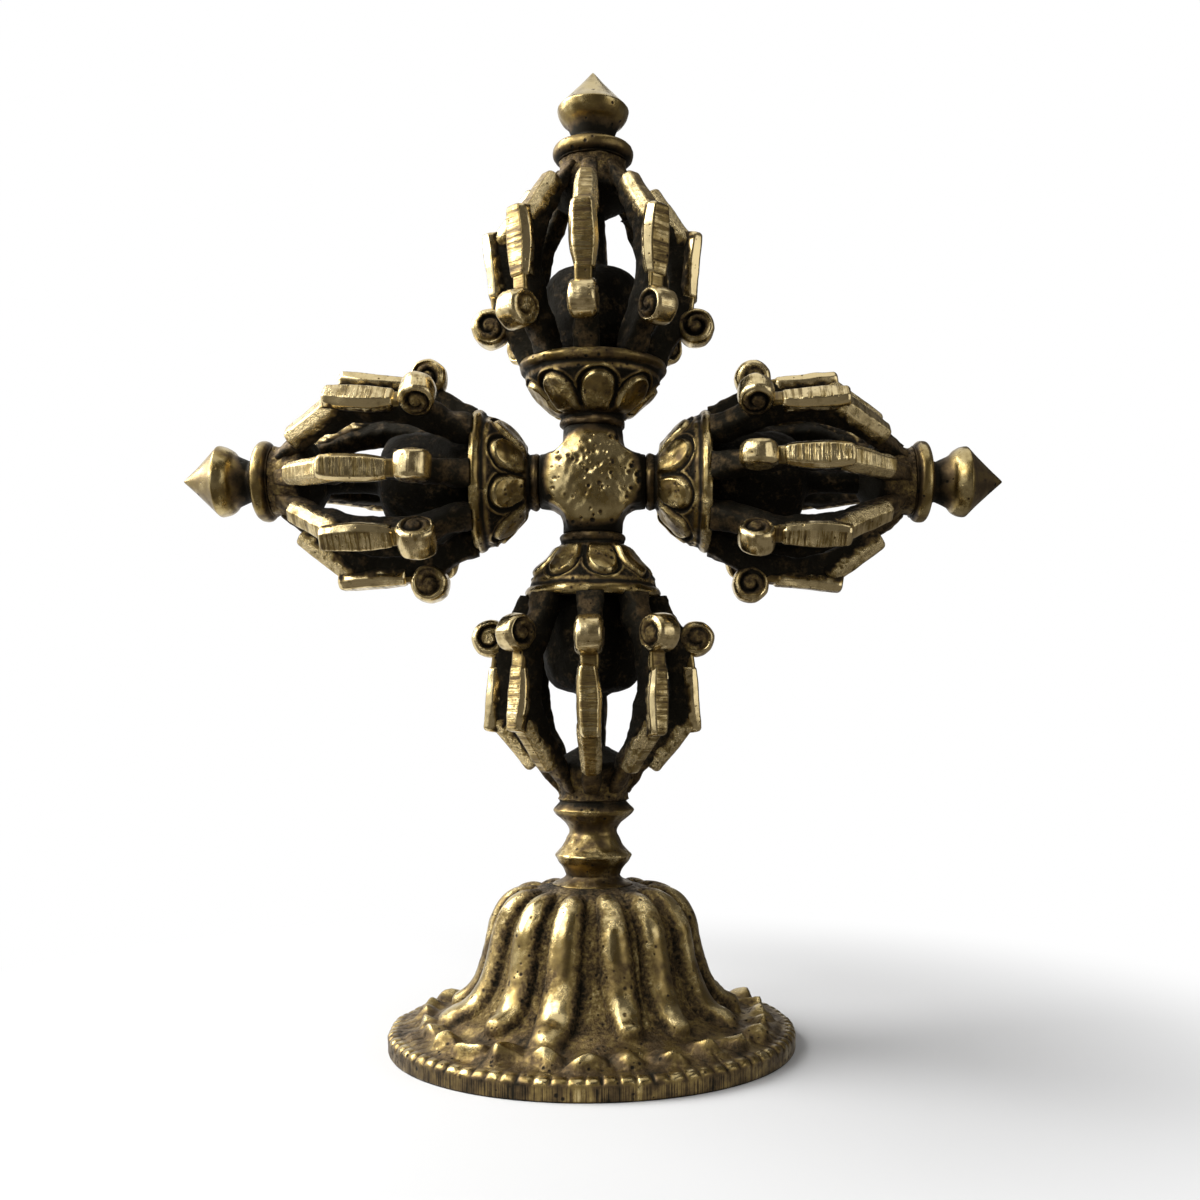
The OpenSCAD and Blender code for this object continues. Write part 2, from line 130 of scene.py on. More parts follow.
# Stations along an arm, from the frame, in millimetres from the hub centre.
HUB_LOW, HUB_HIGH = span("hub")
HUB_Z = 0.5 * (HUB_LOW[2] + HUB_HIGH[2])
HUB_HALF = 0.5 * (HUB_HIGH[2] - HUB_LOW[2])
HUB_DEPTH = 0.5 * (HUB_HIGH[1] - HUB_LOW[1])
RIM_A = span("top_cup")[1][2] - HUB_Z
CUP_R = span("top_cup")[1][0]
BUD_R = span("top_core")[1][0]
CROWN_LOW_A = span("top_crown")[0][2] - HUB_Z
CROWN_A = span("top_crown")[1][2] - HUB_Z
CROWN_R = span("top_crown")[1][0]
FINIAL_TIP_A = span("top_finial")[1][2] - HUB_Z
KNOB_A = FINIAL_TIP_A - 4.6
COLLAR_R = span("top_finial")[1][0]
SCROLL_OUT_R = span("top_prong_1")[1][0]
PED_R = span("pedestal")[1][0]
PED_H = span("pedestal")[1][2]
STEM_END_A = HUB_Z - PED_H


class VajraShape(bpy.types.PropertyGroup):
    """Sizes of the worked forms that a user may change."""

    drum_radius: bpy.props.FloatProperty(
        name="Drum radius", description="Radius of a scroll drum",
        default=2.4 * MM, subtype="DISTANCE", unit="LENGTH",
    )
    drum_width: bpy.props.FloatProperty(
        name="Drum width", description="Width of a scroll drum",
        default=3.8 * MM, subtype="DISTANCE", unit="LENGTH",
    )
    bar_width: bpy.props.FloatProperty(
        name="Bar width", description="Greatest width of a long bar",
        default=3.4 * MM, subtype="DISTANCE", unit="LENGTH",
    )
    web_thickness: bpy.props.FloatProperty(
        name="Web thickness", description="Thickness of a prong's web",
        default=2.7 * MM, subtype="DISTANCE", unit="LENGTH",
    )
    petal_height: bpy.props.FloatProperty(
        name="Petal height", description="How far a petal stands out of its cup",
        default=0.45 * MM, subtype="DISTANCE", unit="LENGTH",
    )
    lobe_height: bpy.props.FloatProperty(
        name="Lobe height", description="How far a lobe stands out of the bell",
        default=1.5 * MM, subtype="DISTANCE", unit="LENGTH",
    )
    hand_work: bpy.props.FloatProperty(
        name="Hand work", description="How uneven the casting and filing are",
        default=1.0, min=0.0, max=2.0, subtype="FACTOR",
    )


class VajraFinish(bpy.types.PropertyGroup):
    """Colours of the brass."""

    polished: bpy.props.FloatVectorProperty(
        name="Polished brass", description="High places that are handled and filed",
        default=(0.57, 0.455, 0.225), size=3, min=0.0, max=1.0, subtype="COLOR",
    )
    filed: bpy.props.FloatVectorProperty(
        name="Filed brass", description="Bare brass of the filed prongs",
        default=(0.71, 0.57, 0.305), size=3, min=0.0, max=1.0, subtype="COLOR",
    )
    olive: bpy.props.FloatVectorProperty(
        name="Olive brass", description="Brass that has dulled",
        default=(0.258, 0.184, 0.066), size=3, min=0.0, max=1.0, subtype="COLOR",
    )
    brown: bpy.props.FloatVectorProperty(
        name="Brown oxide", description="Oxide on necks and stem",
        default=(0.106, 0.072, 0.036), size=3, min=0.0, max=1.0, subtype="COLOR",
    )
    patina: bpy.props.FloatVectorProperty(
        name="Dark patina", description="Patina in the hollows",
        default=(0.024, 0.021, 0.015), size=3, min=0.0, max=1.0, subtype="COLOR",
    )


class VajraStage(bpy.types.PropertyGroup):
    """Camera and lamps."""

    focal_length: bpy.props.FloatProperty(
        name="Focal length", description="Lens of the camera in millimetres",
        default=39.0, min=10.0, subtype="NONE",
    )
    key_power: bpy.props.FloatProperty(
        name="Key lamp", description="Power of the large lamp on the left",
        default=3.4, min=0.0, unit="POWER",
    )
    front_power: bpy.props.FloatProperty(
        name="Front lamp", description="Power of the lamp at the front left",
        default=0.6, min=0.0, unit="POWER",
    )
    fill_power: bpy.props.FloatProperty(
        name="Fill lamp", description="Power of the weak lamp on the right",
        default=0.32, min=0.0, unit="POWER",
    )


# Surfaces


def curve(points, count):
    """Smooth curve through control points: a Catmull-Rom cubic between each two, count samples in all."""
    p = np.asarray(points, float)
    ends = np.vstack([2 * p[0] - p[1], p, 2 * p[-1] - p[-2]])
    t = np.linspace(0, len(p) - 1, count)
    i = np.minimum(t.astype(int), len(p) - 2)
    u = (t - i)[:, None]
    a, b, c, d = ends[i], ends[i + 1], ends[i + 2], ends[i + 3]
    square, cube = 2 * a - 5 * b + 4 * c - d, 3 * b - a - 3 * c + d
    return 0.5 * (2 * b + (c - a) * u + square * u**2 + cube * u**3)


def step(low, high, x):
    """0 below low, 1 above high, and a smooth cubic between them."""
    t = np.clip((x - low) / (high - low), 0, 1)
    return t * t * (3 - 2 * t)


def hump(x, width):
    """Bell curve of the given half width round zero."""
    return np.exp(-((x / width) ** 2))


def lumps(points, size, seed, waves=16):
    """Soft lumps about -1 to 1: a sum of sine waves in random directions, with wavelengths near size."""
    rng = np.random.default_rng(seed)
    way = rng.normal(size=(waves, 3))
    way /= np.linalg.norm(way, axis=1, keepdims=True)
    way *= TAU / (size * rng.uniform(0.7, 1.6, (waves, 1)))
    return np.sin(points @ way.T + rng.uniform(0, TAU, waves)).sum(-1) / np.sqrt(waves)


def uneven(points, broad, fine, seed):
    """Unevenness of hand work: broad and fine lumps, each (height, size), from this seed and the next."""
    return broad[0] * lumps(points, broad[1], seed) + fine[0] * lumps(points, fine[1], seed + 1)


def moved(grid, way, distance):
    """Points moved along their ways by a distance at each point."""
    return grid + way * distance[..., None]


def pits(points, weight, count, radius, seed):
    """Casting pits: the deepest of count bell shaped dents, centred on points drawn by weight."""
    rng = np.random.default_rng(seed)
    flat = points.reshape(-1, 3)
    weight = np.broadcast_to(weight, points.shape[:-1]).ravel()
    centre = flat[rng.choice(len(flat), count, p=weight / weight.sum())]
    size = radius * rng.uniform(0.5, 1.3, count)
    depth = rng.uniform(0.4, 1.0, count)
    square = (flat**2).sum(1)[:, None] + (centre**2).sum(1)[None] - 2 * flat @ centre.T
    return (depth * np.exp(-np.maximum(square, 0) / size**2)).max(1).reshape(points.shape[:-1])


def normals(grid):
    """Unit normals of a grid that closes round its columns: the cross product of its two tangents."""
    around = np.roll(grid, -1, 1) - np.roll(grid, 1, 1)
    along = np.gradient(grid, axis=0)
    n = np.cross(around, along)
    length = np.linalg.norm(n, axis=-1, keepdims=True)
    return n / np.maximum(length, 1e-9)


def ring_angles(columns):
    """Even angles round an axis, one for each column."""
    return np.arange(columns) * TAU / columns


def turned(profile, columns):
    """Lathe surface: each (radius, height) of the profile carried round the arm axis."""
    angle = ring_angles(columns)
    r, z = profile[:, 0][:, None], profile[:, 1][:, None]
    return np.stack([r * np.cos(angle), r * np.sin(angle), z + 0 * angle], -1)


def eased(corners, reach):
    """Eases the corners of closed outlines.

    Each corner becomes a small arc that starts reach from it, with one more point held on the flat at
    either side, so that the flats stay flat.
    """
    before, after = np.roll(corners, 1, 1) - corners, np.roll(corners, -1, 1) - corners
    back, ahead = (np.linalg.norm(way, axis=-1, keepdims=True) for way in (before, after))

    def off(way, length, distance):
        return corners + way * np.minimum(0.48, distance / length)

    start, end = off(before, back, reach), off(after, ahead, reach)
    middle = 0.25 * start + 0.5 * corners + 0.25 * end
    points = [off(before, back, 1.6 * reach), start, middle, end, off(after, ahead, 1.6 * reach)]
    return np.stack(points, 2).reshape(corners.shape[0], -1, corners.shape[2])


def soft_max(first, second, reach):
    """Larger of two fields, rounded over about reach where they meet."""
    return reach * np.logaddexp(first / reach, second / reach)


def spun(points, angle):
    """Points turned round the arm axis."""
    c, s = np.cos(angle), np.sin(angle)
    return points @ np.array([[c, s, 0], [-s, c, 0], [0, 0, 1]])


def on_arm(arm, turn=0.0, wide=1.0):
    """Function that narrows points across an arm, turns them round it and moves them into the frame."""

    def place(points):
        narrowed = points * np.array([wide, wide, 1.0])
        return spun(narrowed, turn) @ ARM_TURNS[arm].T + np.array([0, 0, HUB_Z])

    return place


def added(name, data):
    """New object of the data, linked to the scene."""
    made = bpy.data.objects.new(name, data)
    bpy.context.scene.collection.objects.link(made)
    return made


class Shells:
    """Collects closed grids and makes one mesh of them.

    Each point carries patina (0 bright to 1 dark), filed (1 where file strokes show), cast (1 where the
    casting was left rough) and its place along the grain.
    """

    PAINTED = ("patina", "filed", "cast")

    def __init__(self):
        self.lists = {name: [] for name in ("points", "grain", "quads", "fans", *self.PAINTED)}
        self.count = 0

    def add(self, grid, patina, filed=0.0, grain=None, cast=0.0):
        """Adds a grid whose columns close in a ring and whose two end rows close on a middle point."""
        rows, columns = grid.shape[:2]
        base = self.count + np.arange(rows * columns).reshape(rows, columns)
        low, high = base[:-1], base[1:]
        quads = np.stack([low, np.roll(low, -1, 1), np.roll(high, -1, 1), high], -1).reshape(-1, 4)
        middle = self.count + rows * columns
        first, last = base[0][::-1], base[-1]
        fans = np.concatenate([
            np.stack([first, np.roll(first, -1), np.full(columns, middle)], -1),
            np.stack([last, np.roll(last, -1), np.full(columns, middle + 1)], -1),
        ])

        def with_ends(values):
            ends = values[[0, -1]].mean(1).reshape(2, -1)
            return np.concatenate([values.reshape(rows * columns, -1), ends])

        points = with_ends(grid)
        flat = np.concatenate([quads[:, [0, 1, 2]], quads[:, [0, 2, 3]], fans]) - self.count
        a, b, c = points[flat[:, 0]], points[flat[:, 1]], points[flat[:, 2]]
        inside_out = np.einsum("ij,ij->", a, np.cross(b, c)) < 0
        self.lists["points"].append(points)
        self.lists["grain"].append(points if grain is None else with_ends(grain))
        self.lists["quads"].append(quads[:, ::-1] if inside_out else quads)
        self.lists["fans"].append(fans[:, ::-1] if inside_out else fans)
        for name, values in zip(self.PAINTED, (patina, filed, cast)):
            values = np.broadcast_to(np.asarray(values, float), (rows, columns))
            self.lists[name].append(with_ends(values).ravel())
        self.count += len(points)

    def piece(self, node, slot, place):
        """Makes the object that stands for a CAD node; place moves its points into the frame."""
        whole = {name: np.concatenate(arrays) for name, arrays in self.lists.items()}
        points, quads, fans = place(whole["points"]) * MM, whole["quads"], whole["fans"]
        mesh = bpy.data.meshes.new(node + "_surface")
        mesh.vertices.add(len(points))
        mesh.vertices.foreach_set("co", points.astype(np.float32).ravel())
        loops = np.concatenate([quads.ravel(), fans.ravel()]).astype(np.int32)
        mesh.loops.add(len(loops))
        mesh.loops.foreach_set("vertex_index", loops)
        starts = np.concatenate([np.arange(len(quads)) * 4, len(quads) * 4 + np.arange(len(fans)) * 3])
        mesh.polygons.add(len(starts))
        mesh.polygons.foreach_set("loop_start", starts.astype(np.int32))
        mesh.polygons.foreach_set("use_smooth", np.ones(len(starts), bool))
        mesh.update(calc_edges=True)
        for name in self.PAINTED:
            layer = mesh.attributes.new(name, "FLOAT", "POINT")
            layer.data.foreach_set("value", whole[name].astype(np.float32))
        grain = mesh.attributes.new("grain", "FLOAT_VECTOR", "POINT")
        grain.data.foreach_set("vector", (whole["grain"] * MM).astype(np.float32).ravel())
        mesh.validate()
        mesh.materials.append(finishes()[slot])
        piece = added(node + "_brass", mesh)
        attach(piece, "root")
        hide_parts(node)


def build(node, slot, surface, place):
    """Makes the piece of a CAD node from one surface."""
    shells = Shells()
    shells.add(**surface)
    shells.piece(node, slot, place)


# Hub


def hub_field(p):
    """Signed field of the hub, below zero inside.

    A slab that is domed on both faces has four hollow corners. Two crossing round necks run out of it and
    are cut off at the cup seats.
    """
    corner, hollow, dome_fall = 6.0, 2.8, 28
    level_neck, upright_neck, fillet = 3.3, 3.7, 0.35
    x, y, z = np.abs(p[..., 0]), np.abs(p[..., 1]), np.abs(p[..., 2])
    seat = np.maximum(x, z) - HUB_HALF
    outline = hollow - np.hypot(x - corner, z - corner)
    dome = y - HUB_DEPTH + (x**2 + z**2) / dome_fall
    slab = soft_max(soft_max(outline, dome, 0.4), seat + 0.3, 0.2)
    necks = np.minimum(np.hypot(y, z) - level_neck, np.hypot(y, x) - upright_neck)
    joined = -soft_max(-slab, -necks, fillet) + 0.1
    return np.maximum(joined, seat)


def hub_surface(hand, seed):
    """Star shaped surface: on each ray from the centre, the distance where the hub field is zero.

    The zero is found by halving the stretch that holds it. Lumps and pits are then set along the rays.
    """
    rows, columns, pole = 150, 300, 0.012
    nearest, furthest, halvings = 1.0, 11.0, 34
    polar = np.linspace(pole, np.pi - pole, rows)[:, None]
    round_y = ring_angles(columns)[None]
    ray = np.stack([
        np.sin(polar) * np.cos(round_y),
        -np.cos(polar) + 0 * round_y,
        np.sin(polar) * np.sin(round_y),
    ], -1)
    near, far = np.full(ray.shape[:2], nearest), np.full(ray.shape[:2], furthest)
    for _ in range(halvings):
        middle = 0.5 * (near + far)
        inside = hub_field(ray * middle[..., None]) < 0
        near, far = np.where(inside, middle, near), np.where(inside, far, middle)
    grid = ray * near[..., None]
    patchy = np.sin(polar) * (0.15 + step(-0.4, 0.8, lumps(grid, 5.0, seed + 4)))
    dents = pits(grid, patchy, count=260, radius=0.32, seed=seed)
    reach = np.maximum(np.abs(grid[..., 0]), np.abs(grid[..., 2]))
    free = 1 - step(HUB_HALF - 0.9, HUB_HALF - 0.2, reach)
    wave = uneven(grid, (0.09, 4.0), (0.03, 1.3), seed + 1)
    grid = moved(grid, ray, free * hand * (wave - 0.22 * dents))
    face = step(3.2, 4.4, np.abs(grid[..., 1]))
    patina = 0.62 - 0.46 * face + 0.6 * step(0.25, 0.7, dents) + 0.42 * step(4.7, 6.1, reach)
    return {"grid": grid, "patina": patina + 0.09 * lumps(grid, 2.6, seed + 3)}


# Cups


def cup_profile(ring_r):
    """Rows of a cup as (radius, distance along the arm, share of petal relief)."""
    seat, ring = HUB_HALF, HUB_HALF + 1.2
    foot_ring = [
        (ring_r - 0.46, seat, 0), (ring_r - 0.16, seat + 0.18, 0), (ring_r, seat + 0.55, 0),
        (ring_r - 0.12, seat + 0.95, 0), (ring_r - 0.22, ring + 0.08, 0),
    ]
    bowl = [
        (ring_r + 0.19, ring + 0.42, 0.1), (0.6 * ring_r + 2.5, ring + 1.0, 1), (6.05, ring + 2.1, 1),
        (7.25, ring + 3.35, 1), (8.0, ring + 4.4, 1), (8.25, ring + 4.8, 0.3),
    ]
    rim = [
        (8.52, RIM_A - 1.4, 0), (8.9, RIM_A - 1.14, 0), (CUP_R, RIM_A - 0.66, 0), (9.02, RIM_A - 0.22, 0),
        (8.7, RIM_A - 0.02, 0),
    ]
    flat_top = [(radius, RIM_A, 0) for radius in (8.0, 6.5, 4.5, 2.0, 0.4)]
    return curve(foot_ring + bowl + rim + flat_top, count=150)


def petal_relief(along, across, half_gap):
    """Height and dark share of a petal row.

    A petal pad fills the pitch towards the hub and is round towards the rim. A groove and a thin raised
    outline run round it, and where two outlines part near the rim a small back petal fills the corner.
    """
    top, end = 0.3, 1.7
    wide = np.minimum(half_gap - 0.3, 2.05)
    past = np.maximum(along - top, 0)
    ring = np.hypot(np.abs(across) / wide, past / end) - 1
    edge = np.where(along > top, ring * np.minimum(wide, end), np.abs(across) - wide)
    pad = 1 - step(-0.4, 0.05, edge)
    groove = hump(edge - 0.22, 0.2)
    outline = hump(edge - 0.62, 0.2) * step(-1.6, 0.2, along)
    back = step(0.85, 1.05, edge) * (1 - step(2.9, 3.2, along))
    height = pad + 0.62 * outline - 0.45 * groove + 0.3 * back
    ground = step(0.1, 0.3, edge) * (1 - 0.7 * outline) * (1 - 0.25 * back)
    dark = 0.9 * groove + 0.8 * ground - 0.3 * outline - 0.22 * hump(edge + 0.3, 0.22)
    return height, np.clip(dark, -0.3, 1)


def cup_surface(petal_height, ring_r, dull, hand, seed):
    """Turned cup: petals raised along the surface normal, a dark ring at its foot and a dulled rim."""
    columns = 288
    profile = cup_profile(ring_r)
    radius, up = profile[:, 0][:, None], profile[:, 1][:, None]
    share = np.clip(profile[:, 2], 0, 1)[:, None]
    grid = turned(profile[:, :2], columns)
    out = normals(grid)
    out *= np.sign((out * grid)[..., :2].sum(-1).mean())
    angle = ring_angles(columns)
    pitch = TAU / PETALS_PER_CUP
    sway = 0.03 * hand * np.random.default_rng(seed).normal(size=PETALS_PER_CUP)
    turn = (angle / pitch) % PETALS_PER_CUP
    away = (turn % 1.0 - 0.5) * pitch + np.repeat(sway, columns // PETALS_PER_CUP)
    path = np.concatenate([[0], np.cumsum(np.linalg.norm(np.diff(profile[:, :2], axis=0), axis=1))])
    along = (path - path[profile[:, 2] > 0.5].mean())[:, None] + 0 * angle
    relief, dark = petal_relief(along, radius * away, radius * pitch / 2)

    wave = uneven(grid, (0.09, 3.6), (0.03, 1.1), seed + 1)
    wave = wave * (1 - 0.55 * step(RIM_A - 1.6, RIM_A - 1.1, grid[..., 2]))
    free = step(HUB_HALF + 0.05, HUB_HALF + 0.5, grid[..., 2])
    free = free * (1 - step(RIM_A - 0.1, RIM_A - 0.02, grid[..., 2]))
    grid = moved(grid, out, share * relief * petal_height + free * hand * wave)

    groove_low = hump(up - HUB_HALF - 1.32, 0.3)
    groove_high = hump(up - (RIM_A - 1.5), 0.25) * (radius > 8)
    inside = (1 - step(7.6, 8.5, radius)) * (up > RIM_A - 0.3)
    ring = 1 - step(HUB_HALF + 1.0, HUB_HALF + 1.4, up)
    rim = step(RIM_A - 1.5, RIM_A - 1.1, up)
    patina = 0.2 + 0.4 * ring + dull * rim + share * (0.16 + 0.9 * dark)
    patina = patina + 0.7 * groove_low + 0.75 * groove_high + 0.8 * inside
    cast = 0.6 * share * np.clip(dark, 0, 1) + 0.6 * step(0.1, 0.8, lumps(grid, 4.0, seed + 4))
    return {
        "grid": grid,
        "patina": patina + 0.1 * lumps(grid, 2.2, seed + 3),
        "cast": np.clip(cast, 0, 1),
    }


# Cores


def core_surface(hand, seed):
    """Turned bud and spindle inside a cage, as rough as the casting left it."""
    end = RIM_A + 11.6
    corners = [
        (0.5, RIM_A - 0.4), (4.5, RIM_A - 0.4), (BUD_R - 0.4, RIM_A), (BUD_R, RIM_A + 2.5),
        (BUD_R, RIM_A + 6), (BUD_R - 0.25, end - 2.4), (BUD_R - 1.2, end - 0.8), (BUD_R - 2.7, end - 0.1),
        (2.2, end + 0.2), (1.55, end + 1.0), (1.4, end + 3.5), (1.5, CROWN_LOW_A + 0.4),
        (0.5, CROWN_LOW_A + 0.6),
    ]
    grid = turned(curve(corners, count=80), columns=72)
    grid = moved(grid, grid * ACROSS_ARM, hand * uneven(grid, (0.02, 4.5), (0.012, 1.4), seed))
    return {"grid": grid, "patina": 0.92 + 0.08 * lumps(grid, 2.0, seed + 2), "cast": 0.5}


# Prongs. Stations are (radius from the arm axis, distance above the cup).
WEB_OUTER = (
    (9.1, -0.3), (9.6, 0.9), (10.3, 2.3), (11.3, 3.8), (12.1, 5.2), (12.4, 7.0), (12.2, 8.6), (12.4, 11.0),
    (12.5, 13.6), (11.5, 15.6), (10.1, 17.1), (8.4, 19.2), (6.8, 21.1), (5.6, 22.6), (4.4, 24.0),
)
WEB_INNER = (
    (6.3, -0.1), (6.4, 1.0), (6.65, 2.4), (7.45, 3.9), (8.35, 5.6), (8.95, 7.4), (9.25, 9.0), (9.35, 11.0),
    (9.0, 13.4), (8.3, 15.4), (7.45, 17.0), (6.3, 18.7), (5.3, 20.3), (4.5, 21.8), (3.6, 23.4),
)
WEB_THICK = (1.22, 1.2, 1.12, 1.05, 1.0, 0.93, 0.84, 0.92, 1.0, 1.0, 0.98, 0.94, 0.88, 0.8, 0.66)
WEB_CAST = 0.45
DRUM_UP = 5.8
BAR_UP = 9.0
BAR_LENGTH = 7.8
TIP_BELOW_CROWN = 2.1
# Radii at the foot and the head of each bar.
LONG_R = (12.85, 13.65)
SHORT_R = (12.75, 7.2)
NECK_R = (12.45, 12.7)
# Filing of each bar: share of its width that is flat, fall of its bevels, depth and rounding of its ends.
LONG_FILING = (0.66, 0.5, 2.3, 0.6)
SHORT_FILING = (0.52, 0.62, 2.9, 0.7)
NECK_FILING = (0.8, 0.3, 1.4, 0.4)
NECK_HALF = 1.12
BAR_ROWS = 40
NECK_ROWS = 14
# How far the file strokes are shifted from prong to prong, and what else differs between prongs.
DRUM_SHIFT = 7.0
BAR_SHIFT = 9.0
BY_HAND = (
    "drum_radius", "drum_width", "drum_up", "long_width", "long_foot", "long_head", "long_length",
    "short_foot", "short_head", "short_up", "drum_aside", "lean",
)


def web_surface(thickness, hand, seed):
    """C shaped web: a rounded section between the inner and the outer edge, carried from foot to tip."""
    rows, columns, roundness = 84, 28, 0.55
    outer, inner = curve(WEB_OUTER, rows), curve(WEB_INNER, rows)
    thick = 0.5 * thickness * curve(np.stack([WEB_THICK, WEB_THICK], 1), rows)[:, :1]
    angle = ring_angles(columns)
    broad, side = (np.sign(wave) * np.abs(wave) ** roundness for wave in (np.cos(angle), np.sin(angle)))
    middle, half = 0.5 * (outer + inner), 0.5 * (outer - inner)
    place = middle[:, None] + half[:, None] * broad[None, :, None]
    grid = np.stack([place[..., 0], thick * side, place[..., 1] + RIM_A], -1)
    grid = moved(grid, normals(grid), hand * uneven(grid, (0.12, 3.2), (0.05, 1.0), seed))
    rise = grid[..., 2] - RIM_A
    edge = step(0.75, 1.0, broad)[None] + 0 * rise
    patina = 0.9 - 0.14 * edge - 0.16 * step(15, 21, rise) + 0.1 * lumps(grid, 1.5, seed + 2)
    return grid, patina


def drum_surface(radius, width, hand, seed):
    """Scroll drum turned round the tangent, filed to soft flats, with a spiral groove in both sides.

    A flat shortens the radius to cos(half pitch) / cos(angle from the middle of the flat). The groove lies
    where the radius and the angle together make a whole turn of the spiral.
    """
    columns, flats, groove_depth = 72, 7, 0.7
    rng = np.random.default_rng(seed)
    half = 0.5 * width
    corners = [
        (0.1, 0.0), (0.45, 0.01), (0.9, 0.03), (1.35, 0.08), (radius - 0.56, 0.18), (radius - 0.26, 0.38),
        (radius - 0.07, 0.7), (radius, 0.55 * half + 0.3),
    ]
    near = [(ring, half - back) for ring, back in corners]
    far = [(ring, -side) for ring, side in reversed(near)]
    profile = curve(near + [(radius + 0.03, 0.0)] + far, count=64)
    angle = ring_angles(columns)
    ring, side = profile[:, 0][:, None], profile[:, 1][:, None]
    share = ring / radius
    turn = (0.8 - share) / 0.5 - np.sign(side) * angle / TAU + rng.random()
    off = np.abs((turn + 0.5) % 1.0 - 0.5) * 0.5 * radius
    curl = np.where(side > 0, *rng.uniform(0.25, 1.0, 2))
    groove = curl * hump(off, 0.25) * step(0.18, 0.36, share) * (1 - step(0.66, 0.84, share))
    face = step(0.35 * half, 0.75 * half, np.abs(side)) * (1 - step(0.8, 0.92, share))
    side = side - np.sign(side) * face * groove * groove_depth
    about = (angle + TAU * rng.random()) % (TAU / flats) - np.pi / flats
    flat = 1 - 0.24 * hand * (1 - np.cos(np.pi / flats) / np.cos(about))
    grid = np.stack([ring * flat * np.cos(angle), side + 0 * angle, -ring * flat * np.sin(angle)], -1)
    grid = moved(grid, grid, hand * uneven(grid, (0.05, 3.2), (0.015, 1.1), seed) / radius)
    outward = step(-0.95, -0.2, np.cos(angle)) + 0 * ring
    rim = step(0.56, 0.76, share) * outward
    tone = np.where(side > 0, *rng.uniform(0.2, 0.66, 2))
    patina = tone + (0.07 - tone) * rim + 0.7 * face * groove + 0.08 * lumps(grid, 1.2, seed + 2)
    return grid, patina, 0.3 * rim, 0.8 * face * (1 - rim)


def bar_section(half_wide, flat, depth, drop):
    """Section of a filed bar at each row: flat face, two bevels that fall by drop, sides down to depth."""
    zero = np.zeros_like(half_wide)
    corners = [
        (zero, -flat), (zero, 0 * flat), (zero, flat), (-drop, half_wide), (-0.7 * depth, 0.9 * half_wide),
        (-depth, 0.5 * half_wide), (-depth, -0.5 * half_wide), (-0.7 * depth, -0.9 * half_wide),
        (-drop, -half_wide),
    ]
    return eased(np.stack([np.stack(c, -1) for c in corners], 1), 0.16)


def bar_surface(start, end, half_wide, filing, lean, hand, seed):
    """Filed bar: its section carried from start to end, with rounded ends.

    Rows gather towards the ends by share - 0.11 sin(turn), and an end sinks along a quarter circle.
    """
    flat_share, fall, depth, blunt = filing
    rows = len(half_wide)
    share = np.linspace(0, 1, rows)
    share = share - 0.11 * np.sin(TAU * share)
    start, end = np.array(start), np.array(end)
    length = np.linalg.norm(end - start)
    forward = (end - start) / length
    upward = np.array([forward[1], -forward[0]])
    near_end = np.minimum(share, 1 - share) * length
    round_off = np.sqrt(np.clip(1 - (1 - np.clip(near_end / blunt, 0, 1)) ** 2, 0, 1))
    wide = np.interp(share, np.linspace(0, 1, rows), half_wide) * (0.6 + 0.4 * round_off)
    section = bar_section(wide, flat_share * wide, depth + 0 * wide, fall * wide)
    sink = (1 - round_off) * blunt
    path = start + (end - start) * share[:, None]
    place = path[:, None] + upward * (section[..., 0] - sink[:, None])[..., None]
    aside = section[..., 1] + (lean * (share - 0.5))[:, None]
    grid = np.stack([place[..., 0], aside, place[..., 1] + RIM_A], -1)
    grid = moved(grid, normals(grid), hand * uneven(grid, (0.05, 3.4), (0.012, 1.0), seed))
    low = step(0.45, 0.75, -section[..., 0] / depth + 0.14 * hand * lumps(grid, 0.9, seed + 3))
    flat = 1 - step(0.02, 0.09, -section[..., 0])
    grain = np.stack([section[..., 1], share[:, None] * length + 0 * low, section[..., 0]], -1)
    patina = 0.04 + 0.75 * low + 0.07 * lumps(grid, 1.6, seed + 2)
    return grid, patina, flat, grain


